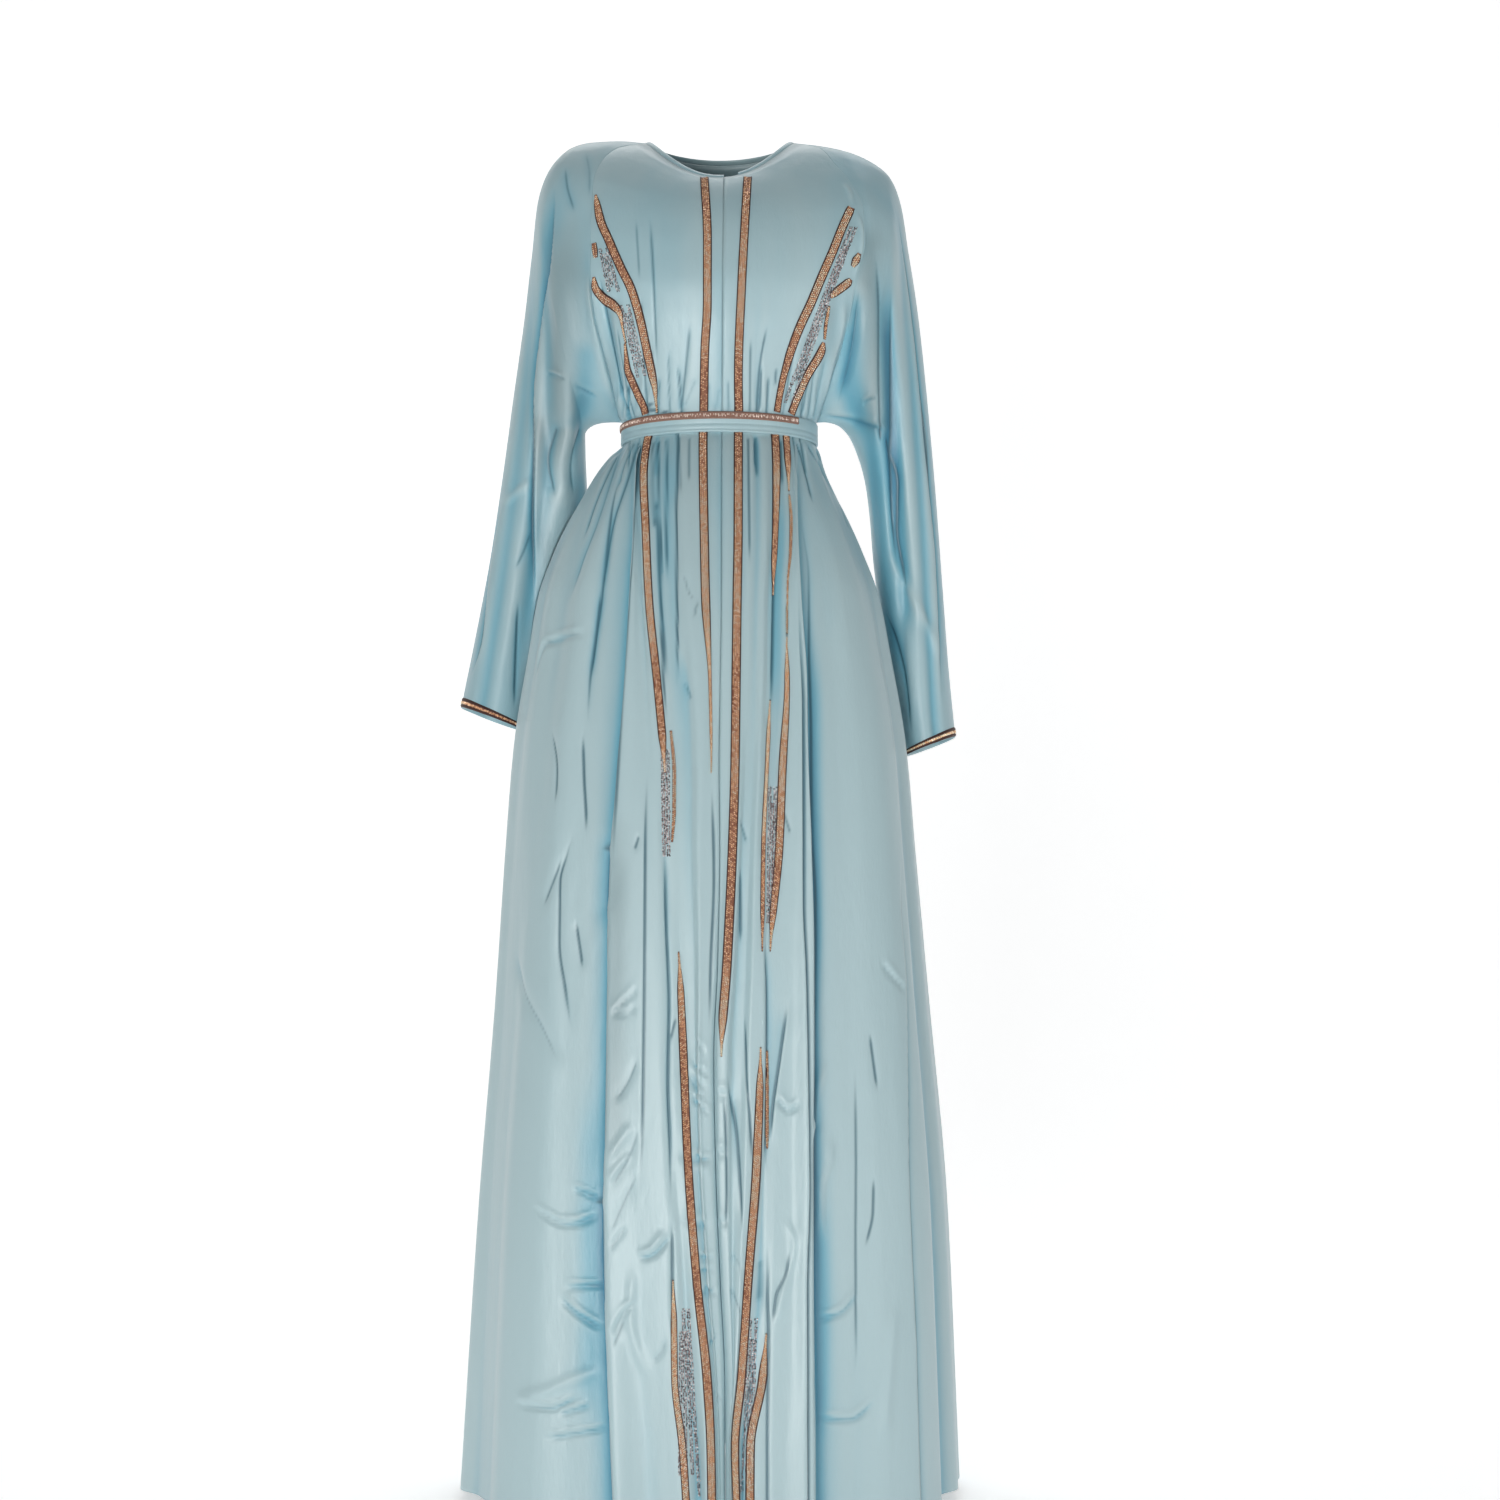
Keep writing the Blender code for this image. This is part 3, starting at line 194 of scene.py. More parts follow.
# The centre braid above the belt: drop and distance from the middle.
BODICE_BRAID = {
    RIGHT: table("drop middle", (0.060, 0.0165), (0.150, 0.0120), (0.215, 0.0120), (0.270, 0.0150),
                 (0.3315, 0.0165)),
    LEFT: table("drop middle", (0.060, 0.0325), (0.133, 0.0290), (0.193, 0.0260), (0.298, 0.0220),
                (0.3315, 0.0225)),
}
NECK_SLIT = 0.006         # the front opening at the neckline, a little to the wearer's left
CREST_GAP = (0.002, 0.007)    # from the fold's edge in to its crest, at the belt and at the hem
VALLEY_GAP = (0.004, 0.011)   # and out to its valley
SPARE = (1, 0, 3, 0, 1, 0, 1, 0, 6)   # points between one line and the next
# How far each point across a front stands out, in millimetres, at four heights. The waist values
# are the gathers above and below the belt.
FOLD_HEIGHTS = np.array((0.3600, 0.5500, 0.9500, LENGTH))
FOLDS = {
    RIGHT: table(
        "waist hip knee hem",
        (0.0, 0.0, -3.0, -10.0),      # front opening
        (1.0, 1.0, 0.0, -8.0),
        (0.0, 1.0, 1.0, -6.0),        # braid a
        (0.0, 1.0, 2.0, -4.0),
        (1.5, 3.0, 4.0, -1.0),
        (-0.5, -2.0, -2.5, -2.0),
        (0.0, -0.5, -2.5, 1.0),
        (1.0, 3.0, -2.0, 4.0),        # braid b
        (1.0, 4.0, 0.0, 6.0),
        (0.0, 2.0, 4.0, -4.0),
        (-1.0, 0.0, 6.0, 4.0),        # braid c
        (-1.0, 1.0, 7.0, 5.0),
        (1.0, 5.0, 9.0, 1.0),
        (1.5, 7.0, 10.0, 12.0),       # crest
        (-2.0, -7.0, -12.0, -16.0),   # valley
        (1.5, -3.0, -4.0, -8.0),
        (-1.5, 3.0, 5.0, 6.0),
        (2.0, -2.0, 4.0, 10.0),
        (-1.5, 3.0, -2.0, -4.0),
        (2.0, -1.0, -3.0, -8.0),
        (-1.0, 1.0, 2.0, 4.0),
        (0.0, 0.0, 0.0, 0.0)),        # side seam
    LEFT: table(
        "waist hip knee hem",
        (0.0, 0.0, -3.0, -10.0),      # front opening
        (1.0, 1.0, -2.0, -8.0),
        (0.0, 1.0, 2.0, -6.0),        # braid a
        (0.0, 1.0, 4.0, -3.0),
        (1.5, 2.0, -4.0, 0.0),
        (-1.5, 0.0, -3.0, 6.0),
        (1.5, 3.0, 3.0, 3.0),
        (0.0, -2.0, 2.0, 1.0),        # braid b
        (0.0, -2.0, 1.0, 3.0),
        (-0.5, -2.5, -1.5, -5.0),
        (0.0, 0.0, -1.5, 2.0),        # braid c
        (0.0, 2.0, -1.0, 5.0),
        (-1.5, 4.0, 2.0, 6.0),
        (1.5, 8.0, 11.0, 13.0),       # crest
        (-2.0, -8.0, -13.0, -18.0),   # valley
        (1.0, -5.0, -9.0, -12.0),
        (-1.0, 2.0, 0.0, 2.0),
        (1.2, 4.0, 6.0, 8.0),
        (-1.0, 1.0, 4.0, 6.0),
        (1.2, -3.0, -7.0, -9.0),
        (-0.6, 1.0, 0.0, 3.0),
        (0.0, 0.0, 0.0, 0.0)),        # side seam
}
BACK_POINTS = 21          # points across the back
BACK_FOLDS = table("drop depth", (0.3600, 0.0018), (0.5500, 0.0045), (0.9500, 0.0080), (LENGTH, 0.0120))
BACK_UNEVEN = 0.4         # how much deeper or shallower than the average a fold of the back is
BACK_UNEVEN_PACE = 2.3    # and how fast that changes from fold to fold
BACK_SWAY = 0.5           # long shallow waves across several folds, as a share of their depth
BACK_SWAY_PACE = 1.1
BACK_SWAY_DROPS = (0.5, 1.3)  # drops between which the long waves appear
BODICE_GATHER = 0.5       # the gathers above the belt are shallower than those below it
GATHER_FADE = (0.180, 0.310)  # the gathers grow from nothing at the bust to full at the belt
GATHERS_STOP = (0.3200, 0.3275)   # drops between which they flatten to go under the belt
GATHERS_START = (0.3575, 0.3700)  # and between which they open out again below it

FROM_FRONT = Vector((0, 1, 0))
FROM_BACK = Vector((0, -1, 0))
SKIRT_SHADE = -0.30       # the skirt stands out into the light, so it looks paler than the bodice
SKIRT_SHADE_DROPS = (0.36, 0.70)
SATIN_CLOTH = 0.0009      # thickness of the satin, as its turned edges show it
TURNED_IN = 4             # rows of the fine grid that a turned edge reaches back
CREASE_STEP = 0.006
CREASE_REACH = 3.2        # how far a crease is felt, in its own widths
CREASE_KEEN = 0.7         # how sharp a steep crease is at its bottom
KEEN_FALL = 3.2           # and how fast it flattens out from there, per width
CREASE_FADE = 0.25        # share of its length over which a crease dies away at each end
TONE_PARTS = 10           # a shade's and a tint's depth are in such parts
LAP_FALL = 0.9            # widths over which a lap's height dies away
LAP_SHADE_FALL = 1.1      # and its shade
SEAM_HOLD = 6             # points next to a seam over which the creases die away
# Depths that are told apart for the painted shade in folds: points to each side and up and down that
# a fold is judged against, how far below them the cloth of a full one lies, and its share.
HOLLOWS = ((24, 7, 0.0100, 0.40), (8, 2, 0.0044, 0.45))
LINE_REACH = 0.0018       # half the width of the painted shadow line at the bottom of a sharp crease
LINE_DEPTH = 1.6          # depth in mm from which a crease's painted shadow line is full
TROUGH_SHADE_SHARE = 0.045         # painted shade: how much each millimetre of a trough's depth deepens the colour in it
LAP_SHADE = 0.11          # and each millimetre of a lap's depth beside its edge
CRUMPLE_STEEP = 0.35      # creases less upright than this have a raised lip along their upper side
CRUMPLE_LIP = 1.0
CRUMPLE_LIP_RISE = 1.5    # how far above the crease it lies, in widths
CRUMPLE_LIP_REACH = 2.5
CRUMPLE_SHARP = 0.55      # and are sharper and deeper than their row says
CRUMPLE_DEEP = 1.5
CRUMPLE_LINE = 0.30       # the least share of the painted shadow line that they get
FRONT_POINTS = 22         # points across a front
BRAID_A_END = 3           # the outer edge of the centre braid among them
RAGLAN_END = 0.320
NECK_DROP = 0.060         # the front's neckline at the middle
BACK_NECK_DROP = 0.016
BELT_EDGES = (322, 375)   # creases that start or end here run on under the belt
HEM_EDGE = 1500
LAP_EDGE = 0.0015         # how sharply one ply lies over the next
LAP_SLIP = 0.35           # how far its edge slips over, as a share of the lap's depth
FRONT_ROWS = 392
FRONT_COLUMNS = 240
BACK_ROWS = 260
BACK_COLUMNS = 200
SPACING_DROP = 0.95       # drop at which a panel's columns are spaced
FRONT_FACING = 0.55       # how far they are spaced as seen from ahead, not along the cloth
BACK_FACING = 0.3
SPACING_STEPS = 3000      # steps in which they are spaced, and the rows
ROW_STEPS = 2000
# How far apart the rows are at each drop, in mm: closest where the cloth is gathered or crumpled.
ROW_SPACING = table("drop spacing", (0.0, 4.6), (0.28, 3.5), (0.42, 3.5), (0.60, 5.2), (0.98, 5.2),
                    (1.10, 3.9), (LENGTH, 3.9))

# Creases of the fronts as the gown hangs: kind, depth and width in mm, then the path as pairs of
# distance from the middle (towards the wearer's left) and drop, in mm. A trough is pressed in and
# a ridge raised. In a lap the named side lies over the other. The last two kinds move no cloth and
# only paint light and shade into the colour: a shade is a painted grey shade, and the other a
# painted shade of deeper blue, or painted light, paler, where its depth is below 0. Their depth is
# in tenths of the full effect.
FRONT_CREASES = (
    ("lap_left", 5.0, 17, (-91, 420), (-93, 466), (-97, 548), (-101, 646), (-108, 742), (-115, 875),
     (-116, 1086), (-118, 1221), (-114, 1324), (-108, 1447), (-104, 1520)),
    ("trough", 2.0, 5, (-88, 365), (-91, 440), (-95, 530), (-100, 640), (-106, 742), (-113, 875)),
    ("trough", 2.5, 6, (-183, 686), (-176, 734), (-177, 774)),
    ("trough", 2.2, 4, (-147, 688), (-145, 742), (-142, 797), (-143, 808)),
    ("trough", 3.0, 8, (-155, 797), (-164, 829), (-171, 852), (-171, 920), (-164, 969), (-155, 1021)),
    ("trough", 2.0, 6, (-153, 895), (-144, 951)),
    ("trough", 2.0, 8, (-168, 827), (-190, 884)),
    ("trough", 3.0, 8, (-224, 927), (-211, 975), (-189, 1013), (-166, 1056)),
    ("trough", 1.4, 4, (-113, 997), (-82, 989)),
    ("trough", 1.2, 4, (-113, 997), (-81, 966)),
    ("lap_right", 1.6, 12, (-76, 716), (-78, 815), (-78, 928), (-79, 1102), (-83, 1198)),
    ("trough", 4.5, 5, (-56, 790), (-53, 907), (-50, 986), (-51, 1063), (-48, 1140), (-47, 1213)),
    ("trough", 1.5, 3, (-49, 1025), (-42, 997)),
    ("trough", 1.4, 3, (-88, 823), (-83, 806)),
    ("ridge", 1.5, 5, (-115, 1151), (-103, 1131), (-86, 1108)),
    ("ridge", 1.5, 4, (-115, 1172), (-101, 1152), (-88, 1139)),
    ("trough", 1.5, 4, (-113, 1241), (-93, 1215)),
    ("trough", 1.5, 5, (-163, 1283), (-117, 1280)),
    ("trough", 2.0, 6, (-168, 1293), (-148, 1310), (-119, 1327)),
    ("ridge", 2.0, 6, (-116, 1365), (-153, 1379), (-181, 1392), (-219, 1402)),
    ("trough", 2.0, 5, (-216, 1406), (-177, 1409), (-145, 1396)),
    ("trough", 1.4, 5, (-168, 1415), (-132, 1404)),
    ("trough", 1.5, 5, (-186, 1441), (-111, 1426)),
    ("trough", 1.2, 5, (-155, 1179), (-124, 1191)),
    ("trough", 1.2, 4, (-107, 1341), (-95, 1310)),
    ("trough", 3.0, 6, (-47, 1222), (-52, 1229), (-69, 1245), (-84, 1248)),
    ("ridge", 2.5, 6, (-87, 1251), (-89, 1305), (-78, 1355), (-69, 1371)),
    ("trough", 1.5, 3.5, (-52, 1330), (-57, 1344), (-69, 1355)),
    ("trough", 4.0, 4, (-46, 1205), (-46, 1274), (-44, 1335)),
    ("trough", 3.0, 4, (-96, 359), (-107, 389), (-114, 420)),
    ("trough", 3.0, 5, (-92, 360), (-100, 401), (-118, 463), (-129, 545)),
    ("trough", 2.2, 4, (-74, 363), (-74, 404), (-70, 475)),
    ("trough", 2.2, 3.5, (-68, 364), (-66, 446), (-64, 509), (-57, 598), (-52, 660)),
    ("trough", 1.2, 3, (-67, 432), (-71, 472)),
    ("lap_left", 1.8, 12, (-44, 358), (-44, 426), (-43, 508), (-42, 568), (-41, 660)),
    ("trough", 1.0, 4, (-21, 550), (-26, 573)),
    ("trough", 4.0, 9, (-112, 362), (-136, 454), (-154, 504), (-166, 552)),
    ("trough", 2.5, 7, (-128, 528), (-134, 584), (-140, 638)),
    ("trough", 2.0, 6, (-138, 580), (-163, 584), (-191, 589), (-200, 607), (-204, 632)),
    ("trough", 3.0, 8, (-104, 375), (-119, 441), (-128, 541), (-140, 638), (-142, 702)),
    ("trough", 2.0, 3.5, (-6, 743), (-3, 853), (-6, 938), (-8, 1022)),
    ("trough", 1.5, 4, (-27, 1045), (-13, 1056), (6, 1063)),
    ("trough", 1.2, 4, (-24, 1022), (-10, 1037)),
    ("trough", 1.2, 3.5, (-27, 1064), (-17, 1079), (-12, 1081)),
    ("trough", 1.5, 4, (-27, 1081), (-13, 1094), (6, 1106)),
    ("trough", 1.5, 4, (-25, 1139), (-8, 1146), (8, 1138)),
    ("ridge", 1.5, 5, (-25, 1150), (-8, 1157), (8, 1150)),
    ("trough", 1.5, 4, (-19, 1245), (0, 1248), (12, 1237)),
    ("trough", 1.2, 4, (-18, 1260), (12, 1256)),
    ("trough", 1.2, 4, (-14, 1276), (3, 1286)),
    ("trough", 1.2, 4, (-9, 1337), (7, 1321)),
    ("trough", 1.2, 4, (-2, 1381), (10, 1399)),
    ("trough", 2.0, 3, (7, 1071), (10, 1121), (11, 1178), (9, 1229)),
    ("trough", 1.5, 4, (25, 835), (25, 926)),
    ("trough", 2.5, 4.5, (10, 1049), (15, 1083), (21, 1122), (24, 1169), (27, 1229)),
    ("trough", 2.0, 4, (29, 986), (31, 1063), (35, 1102), (38, 1160)),
    ("trough", 1.2, 4, (13, 1242), (23, 1253), (26, 1268)),
    ("trough", 1.2, 4, (13, 1275), (20, 1291), (28, 1307)),
    ("trough", 1.2, 4, (41, 1242), (46, 1257), (44, 1287), (39, 1301)),
    ("lap_right", 3.5, 9, (50, 905), (51, 1029), (50, 1100), (50, 1180)),
    ("trough", 2.5, 3.5, (54, 1220), (53, 1287), (54, 1321), (53, 1442), (53, 1520)),
    ("lap_left", 2.5, 10, (77, 977), (66, 1054), (61, 1088), (56, 1138)),
    ("ridge", 2.0, 5, (116, 1043), (106, 1088), (101, 1134)),
    ("ridge", 2.0, 5, (120, 1118), (120, 1147), (111, 1178), (110, 1215), (115, 1241)),
    ("trough", 1.2, 3.5, (147, 1035), (148, 1142), (147, 1254), (147, 1347), (143, 1391)),
    ("trough", 1.5, 6, (163, 1013), (172, 1081)),
    ("trough", 1.5, 6, (175, 941), (206, 976)),
    ("lap_right", 4.0, 14, (202, 803), (200, 874), (205, 975), (205, 1144), (208, 1257), (212, 1352),
     (214, 1460), (216, 1520)),
    ("trough", 1.5, 3.5, (167, 1165), (166, 1206), (156, 1247)),
    ("ridge", 2.5, 7, (190, 1301), (183, 1368), (175, 1456)),
    ("ridge", 2.0, 5, (70, 1205), (81, 1234), (74, 1264), (60, 1322)),
    ("trough", 2.0, 4, (76, 1237), (73, 1262), (62, 1287), (58, 1321)),
    ("trough", 1.2, 4, (71, 781), (79, 807)),
    ("trough", 1.2, 4, (24, 788), (32, 817)),
    ("lap_right", 5.0, 17, (85, 470), (88, 587), (91, 664), (91, 791), (91, 875), (94, 952),
     (96, 1064), (97, 1175), (94, 1285), (94, 1445), (94, 1520)),
    ("trough", 3.0, 7, (83, 388), (91, 450), (100, 525), (100, 597), (102, 694), (102, 790),
     (106, 875), (105, 1000), (104, 1200), (103, 1447)),
    ("trough", 1.8, 3.5, (41, 359), (42, 401)),
    ("trough", 2.5, 4.5, (89, 364), (93, 377), (106, 437)),
    ("trough", 2.5, 4.5, (102, 362), (118, 390), (134, 421)),
    ("trough", 2.2, 3.5, (60, 487), (60, 528), (59, 587), (57, 660)),
    ("trough", 1.2, 3, (75, 548), (75, 595)),
    ("trough", 1.8, 4, (55, 236), (45, 293), (43, 329)),
    ("trough", 1.5, 3.5, (65, 282), (63, 305)),
    ("trough", 0.8, 5, (2, 305), (-3, 328)),
    ("trough", 1.2, 3, (-77, 107), (-72, 183), (-70, 246), (-67, 292)),
    ("trough", 0.8, 3, (-92, 115), (-87, 194)),
    ("trough", 1.5, 4, (-31, 234), (-37, 289), (-42, 327)),
    ("trough", 1.2, 3.5, (-24, 296), (-37, 324)),
    ("shade", 3.5, 13, (-104, 760), (-107, 900), (-107, 1060), (-106, 1200)),
    ("tint", -7.0, 26, (150, 560), (158, 720), (164, 880)),
    ("tint", -6.5, 16, (-34, 400), (-33, 520), (-32, 640)),
    ("tint", -4.0, 26, (-170, 700), (-175, 860), (-180, 1000)),
    ("tint", -3.0, 30, (-196, 1100), (-200, 1250), (-202, 1400)),
    ("tint", 3.5, 8, (107, 560), (108, 760), (108, 1000)),
    ("tint", 3.0, 6, (-58, 930), (-58, 1060), (-56, 1180)),
    ("tint", 2.5, 15, (-16, 1010), (-14, 1200), (-12, 1380)),
    ("tint", 3.5, 17, (-140, 1040), (-138, 1250), (-134, 1460)),
    ("tint", 1.5, 9, (-1, 120), (2, 380), (3, 640)),
    ("tint", 3.5, 9, (112, 1180), (112, 1300), (108, 1460)),
    ("shade", 2.2, 10, (-130, 330), (-120, 260), (-112, 200)),
    ("shade", 2.2, 10, (132, 330), (128, 250), (124, 190)),
    ("trough", 1.4, 3, (-86, 200), (-84, 262), (-80, 330)),
    ("trough", 1.2, 3, (-56, 262), (-55, 330)),
    ("trough", 1.4, 3, (36, 250), (35, 330)),
    ("trough", 1.2, 3, (84, 262), (72, 330)),
    ("trough", 2.4, 3, (-58, 362), (-57, 430), (-55, 540)),
    ("trough", 1.6, 3, (-33, 362), (-32, 420)),
    ("trough", 1.6, 3, (33, 362), (34, 440), (35, 520)),
    ("trough", 2.4, 3, (70, 362), (71, 420)),
    ("trough", 2.6, 3, (-118, 372), (-138, 430), (-152, 480)),
    ("trough", 2.4, 3, (112, 366), (132, 410), (148, 460)),
    ("lap_right", 2.4, 10, (60, 400), (61, 470), (59, 560), (57, 640), (54, 690)),
    ("lap_left", 1.8, 9, (-62, 430), (-60, 540), (-56, 640), (-52, 700)),
    ("trough", 1.6, 5, (-38, 520), (-30, 545), (-22, 552)),
    ("trough", 1.4, 4, (-36, 640), (-27, 662)),
    ("trough", 1.0, 9, (-44, 1048), (-22, 1066), (2, 1078), (12, 1080)),
    ("trough", 1.1, 9, (-42, 1138), (-20, 1148), (0, 1142), (12, 1138)),
    ("trough", 1.1, 9, (-40, 1204), (-18, 1214), (2, 1212), (14, 1208)),
    ("trough", 1.0, 9, (-34, 1276), (-14, 1284), (4, 1270), (12, 1262)),
    ("trough", 1.3, 8, (-112, 1180), (-94, 1150), (-80, 1112)),
    ("trough", 1.3, 8, (-112, 1226), (-96, 1190), (-82, 1160)),
    ("trough", 1.6, 5, (-108, 1090), (-92, 1064), (-82, 1040)),
    ("trough", 1.6, 5, (-110, 1330), (-92, 1300), (-80, 1292)),
    ("trough", 1.8, 6, (-200, 1200), (-160, 1218), (-122, 1208)),
    ("trough", 1.8, 6, (150, 1290), (130, 1310), (104, 1316)),
    ("trough", 1.8, 6, (170, 1400), (140, 1420), (104, 1416)),
    ("trough", 1.6, 5, (60, 1080), (76, 1096), (90, 1088)),
    ("trough", 7.0, 7, (-134, 172), (-131, 200), (-125, 232), (-119, 264), (-113, 296), (-104, 328)),
    ("trough", 2.5, 3.5, (-114, 230), (-111, 262), (-105, 295), (-97, 328)),
    ("ridge", 1.5, 3, (138, 69), (147, 80), (149, 96)),
    ("ridge", 1.5, 3, (152, 104), (158, 116), (161, 129), (160, 146), (153, 180)),
    ("ridge", 3.5, 5, (142, 200), (137, 235), (127, 270), (113, 322)),
    ("trough", 1.6, 3, (-101, 350), (-101, 395)),
    ("trough", 1.6, 3, (-90, 353), (-89, 400)),
    ("trough", 2.4, 3, (-69, 357), (-68, 412)),
    ("trough", 2.2, 3, (-44, 360), (-41, 437)),
    ("trough", 2.2, 3, (42, 360), (43, 413)),
    ("trough", 2.6, 3, (84, 354), (88, 408)),
    ("trough", 2.6, 3, (92, 353), (100, 404)),
    ("trough", 2.2, 3, (-106, 328), (-101, 292)),
    ("trough", 2.2, 3, (-69, 332), (-66, 290)),
    ("trough", 1.8, 3, (-42, 332), (-45, 280)),
    ("trough", 1.8, 3, (45, 332), (48, 280)),
    ("trough", 2.0, 3, (54, 332), (56, 290)),
    ("trough", 2.4, 3, (94, 331), (102, 290)),
    ("trough", 1.2, 3, (12, 330), (10, 296)),
    ("trough", 1.2, 3, (-12, 330), (-11, 300)),
    ("trough", 1.6, 4, (97, 285), (94, 326)),
    ("trough", 1.6, 4, (108, 275), (102, 326)),
    ("trough", 1.2, 4, (121, 262), (108, 325)),
)
# The back, which hangs as unevenly: the same kinds of creases, seen from behind.
BACK_CREASES = (
    ("lap_left", 4.0, 15, (-86, 430), (-92, 540), (-98, 700), (-104, 900), (-107, 1150), (-110, 1350),
     (-112, 1520)),
    ("lap_right", 4.0, 15, (70, 460), (78, 600), (84, 780), (90, 1000), (96, 1250), (101, 1520)),
    ("lap_right", 3.0, 12, (-24, 520), (-28, 680), (-30, 900), (-38, 1150), (-42, 1520)),
    ("lap_left", 2.5, 12, (22, 700), (26, 900), (30, 1150), (28, 1350), (32, 1520)),
    ("trough", 2.4, 4, (-90, 360), (-96, 410), (-108, 480)),
    ("trough", 2.0, 4, (-72, 360), (-76, 430), (-80, 520)),
    ("trough", 2.6, 4, (-52, 360), (-56, 450)),
    ("trough", 2.0, 3.5, (-33, 360), (-34, 470), (-38, 560)),
    ("trough", 2.4, 4, (-12, 360), (-12, 420)),
    ("trough", 2.0, 4, (8, 360), (9, 480), (12, 640)),
    ("trough", 2.6, 4, (30, 360), (34, 430)),
    ("trough", 2.2, 3.5, (48, 360), (53, 470), (57, 560)),
    ("trough", 2.4, 4, (66, 360), (74, 430), (82, 500)),
    ("trough", 2.4, 4, (88, 360), (100, 420), (112, 480)),
    ("trough", 2.0, 5, (-148, 640), (-154, 760), (-158, 900)),
    ("trough", 2.0, 5, (150, 700), (158, 850), (160, 1000)),
    ("trough", 1.8, 6, (-190, 1020), (-160, 1060), (-128, 1080)),
    ("trough", 1.6, 5, (60, 1180), (92, 1196), (120, 1188)),
    ("ridge", 1.8, 6, (-80, 1330), (-52, 1350), (-20, 1344)),
    ("trough", 1.6, 5, (120, 1380), (158, 1396), (196, 1390)),
    ("trough", 1.8, 4, (-60, 210), (-52, 270), (-46, 328)),
    ("trough", 1.8, 4, (-22, 200), (-20, 270), (-18, 328)),
    ("trough", 1.8, 4, (18, 190), (17, 260), (15, 328)),
    ("trough", 1.8, 4, (62, 200), (54, 270), (47, 328)),
    ("trough", 1.8, 4, (-98, 240), (-88, 290), (-80, 328)),
    ("trough", 1.8, 4, (98, 240), (88, 290), (79, 328)),
)


class Wire:
    """A socket of a finish, used in sums like a number."""

    def __init__(self, finish, socket):
        self.finish = finish
        self.socket = socket

    def sum(self, operation, first, second):
        return self.finish.node("ShaderNodeMath", {"operation": operation}, {0: first, 1: second}, 0)

    def __add__(self, other):
        return self.sum("ADD", self, other)

    __radd__ = __add__

    def __sub__(self, other):
        return self.sum("SUBTRACT", self, other)

    def __rsub__(self, other):
        return self.sum("SUBTRACT", other, self)

    def __mul__(self, other):
        return self.sum("MULTIPLY", self, other)

    __rmul__ = __mul__

    def __truediv__(self, other):
        return self.sum("DIVIDE", self, other)

    def __pow__(self, other):
        return self.sum("POWER", self, other)


class Finish:
    """A material of the gown: its shader, and the nodes that vary it over the surface."""

    def __init__(self, name, **constants):
        self.material = bpy.data.materials.new(name)
        self.material.use_nodes = True
        self.tree = self.material.node_tree
        self.shader = self.tree.nodes["Principled BSDF"]
        for socket, value in constants.items():
            self.shader.inputs[socket.replace("_", " ")].default_value = value

    def node(self, kind, settings, sockets, out):
        made = self.tree.nodes.new(kind)
        for setting, value in settings.items():
            setattr(made, setting, value)
        for socket, value in sockets.items():
            self.join(made.inputs[socket], value)
        return Wire(self, made.outputs[out])

    def join(self, socket, value):
        if isinstance(value, Wire):
            self.tree.links.new(value.socket, socket)
        else:
            socket.default_value = value

    def show(self, **sockets):
        for socket, value in sockets.items():
            self.join(self.shader.inputs[socket.replace("_", " ")], value)

    def trait(self, name):
        return self.node("ShaderNodeAttribute", {"attribute_name": name}, {}, "Fac")

    def place(self, scale):
        """Position on the piece, stretched by a scale for each axis."""
        spot = self.node("ShaderNodeTexCoord", {}, {}, "Object")
        return self.node("ShaderNodeVectorMath", {"operation": "MULTIPLY"}, {0: spot, 1: scale}, 0)

    def noise(self, scale, detail, roughness=0.5):
        return self.node("ShaderNodeTexNoise", {}, {"Vector": self.place(scale), "Scale": 1.0,
                                                    "Detail": detail, "Roughness": roughness}, 0)

    def within(self, value, low, high):
        """0 at or below low, 1 at or above high, smooth between."""
        return self.node("ShaderNodeMapRange", {"interpolation_type": "SMOOTHSTEP"},
                         {"Value": value, "From Min": low, "From Max": high}, 0)

    def mix(self, share, start, end):
        return self.node("ShaderNodeMix", {"data_type": "RGBA"}, {0: share, 6: start, 7: end}, 2)

    def bump(self, height, distance, strength):
        return self.node("ShaderNodeBump", {}, {"Height": height, "Distance": distance,
                                                "Strength": strength}, 0)


# Satin: a cool pale blue, painted grey as a sheen where the cloth stands out of the folds and faces
# the light, and painted a clear deep blue as shade down in the folds; with a broad soft sheen, faint
# slubs along the drop and a very fine weave.
SATIN_PALE_SHEEN = (0.432, 0.586, 0.622, 1.0)
SATIN_CLEAR = (0.165, 0.440, 0.555, 1.0)
SATIN_DEEP_SHADE = (0.040, 0.235, 0.370, 1.0)
SATIN_SHADOW_LINE = (0.035, 0.120, 0.165, 1.0)
SATIN_SHADE = (0.110, 0.170, 0.185, 1.0)
satin = Finish("pale_blue_satin_cloth", Specular_IOR_Level=0.75, Sheen_Weight=0.15, Sheen_Roughness=0.4,
               Anisotropic=0.3)
# The painted shade in folds and troughs, and the painted light where it is below 0.
painted_fold_shade = satin.trait("hollow")
clouds = satin.noise((9.0, 9.0, 2.2), 3.0)
clearer = satin.within(painted_fold_shade + (clouds - 0.5) * 0.70, -0.25, 0.60)
deeper = satin.within(painted_fold_shade, 0.35, 1.25)
colour = satin.mix(deeper, satin.mix(clearer, SATIN_PALE_SHEEN, SATIN_CLEAR), SATIN_DEEP_SHADE)
# A painted shadow line along the bottom of sharp creases and at the foot of laps.
colour = satin.mix(satin.within(satin.trait("line"), 0.02, 0.90) * 0.85, colour, SATIN_SHADOW_LINE)
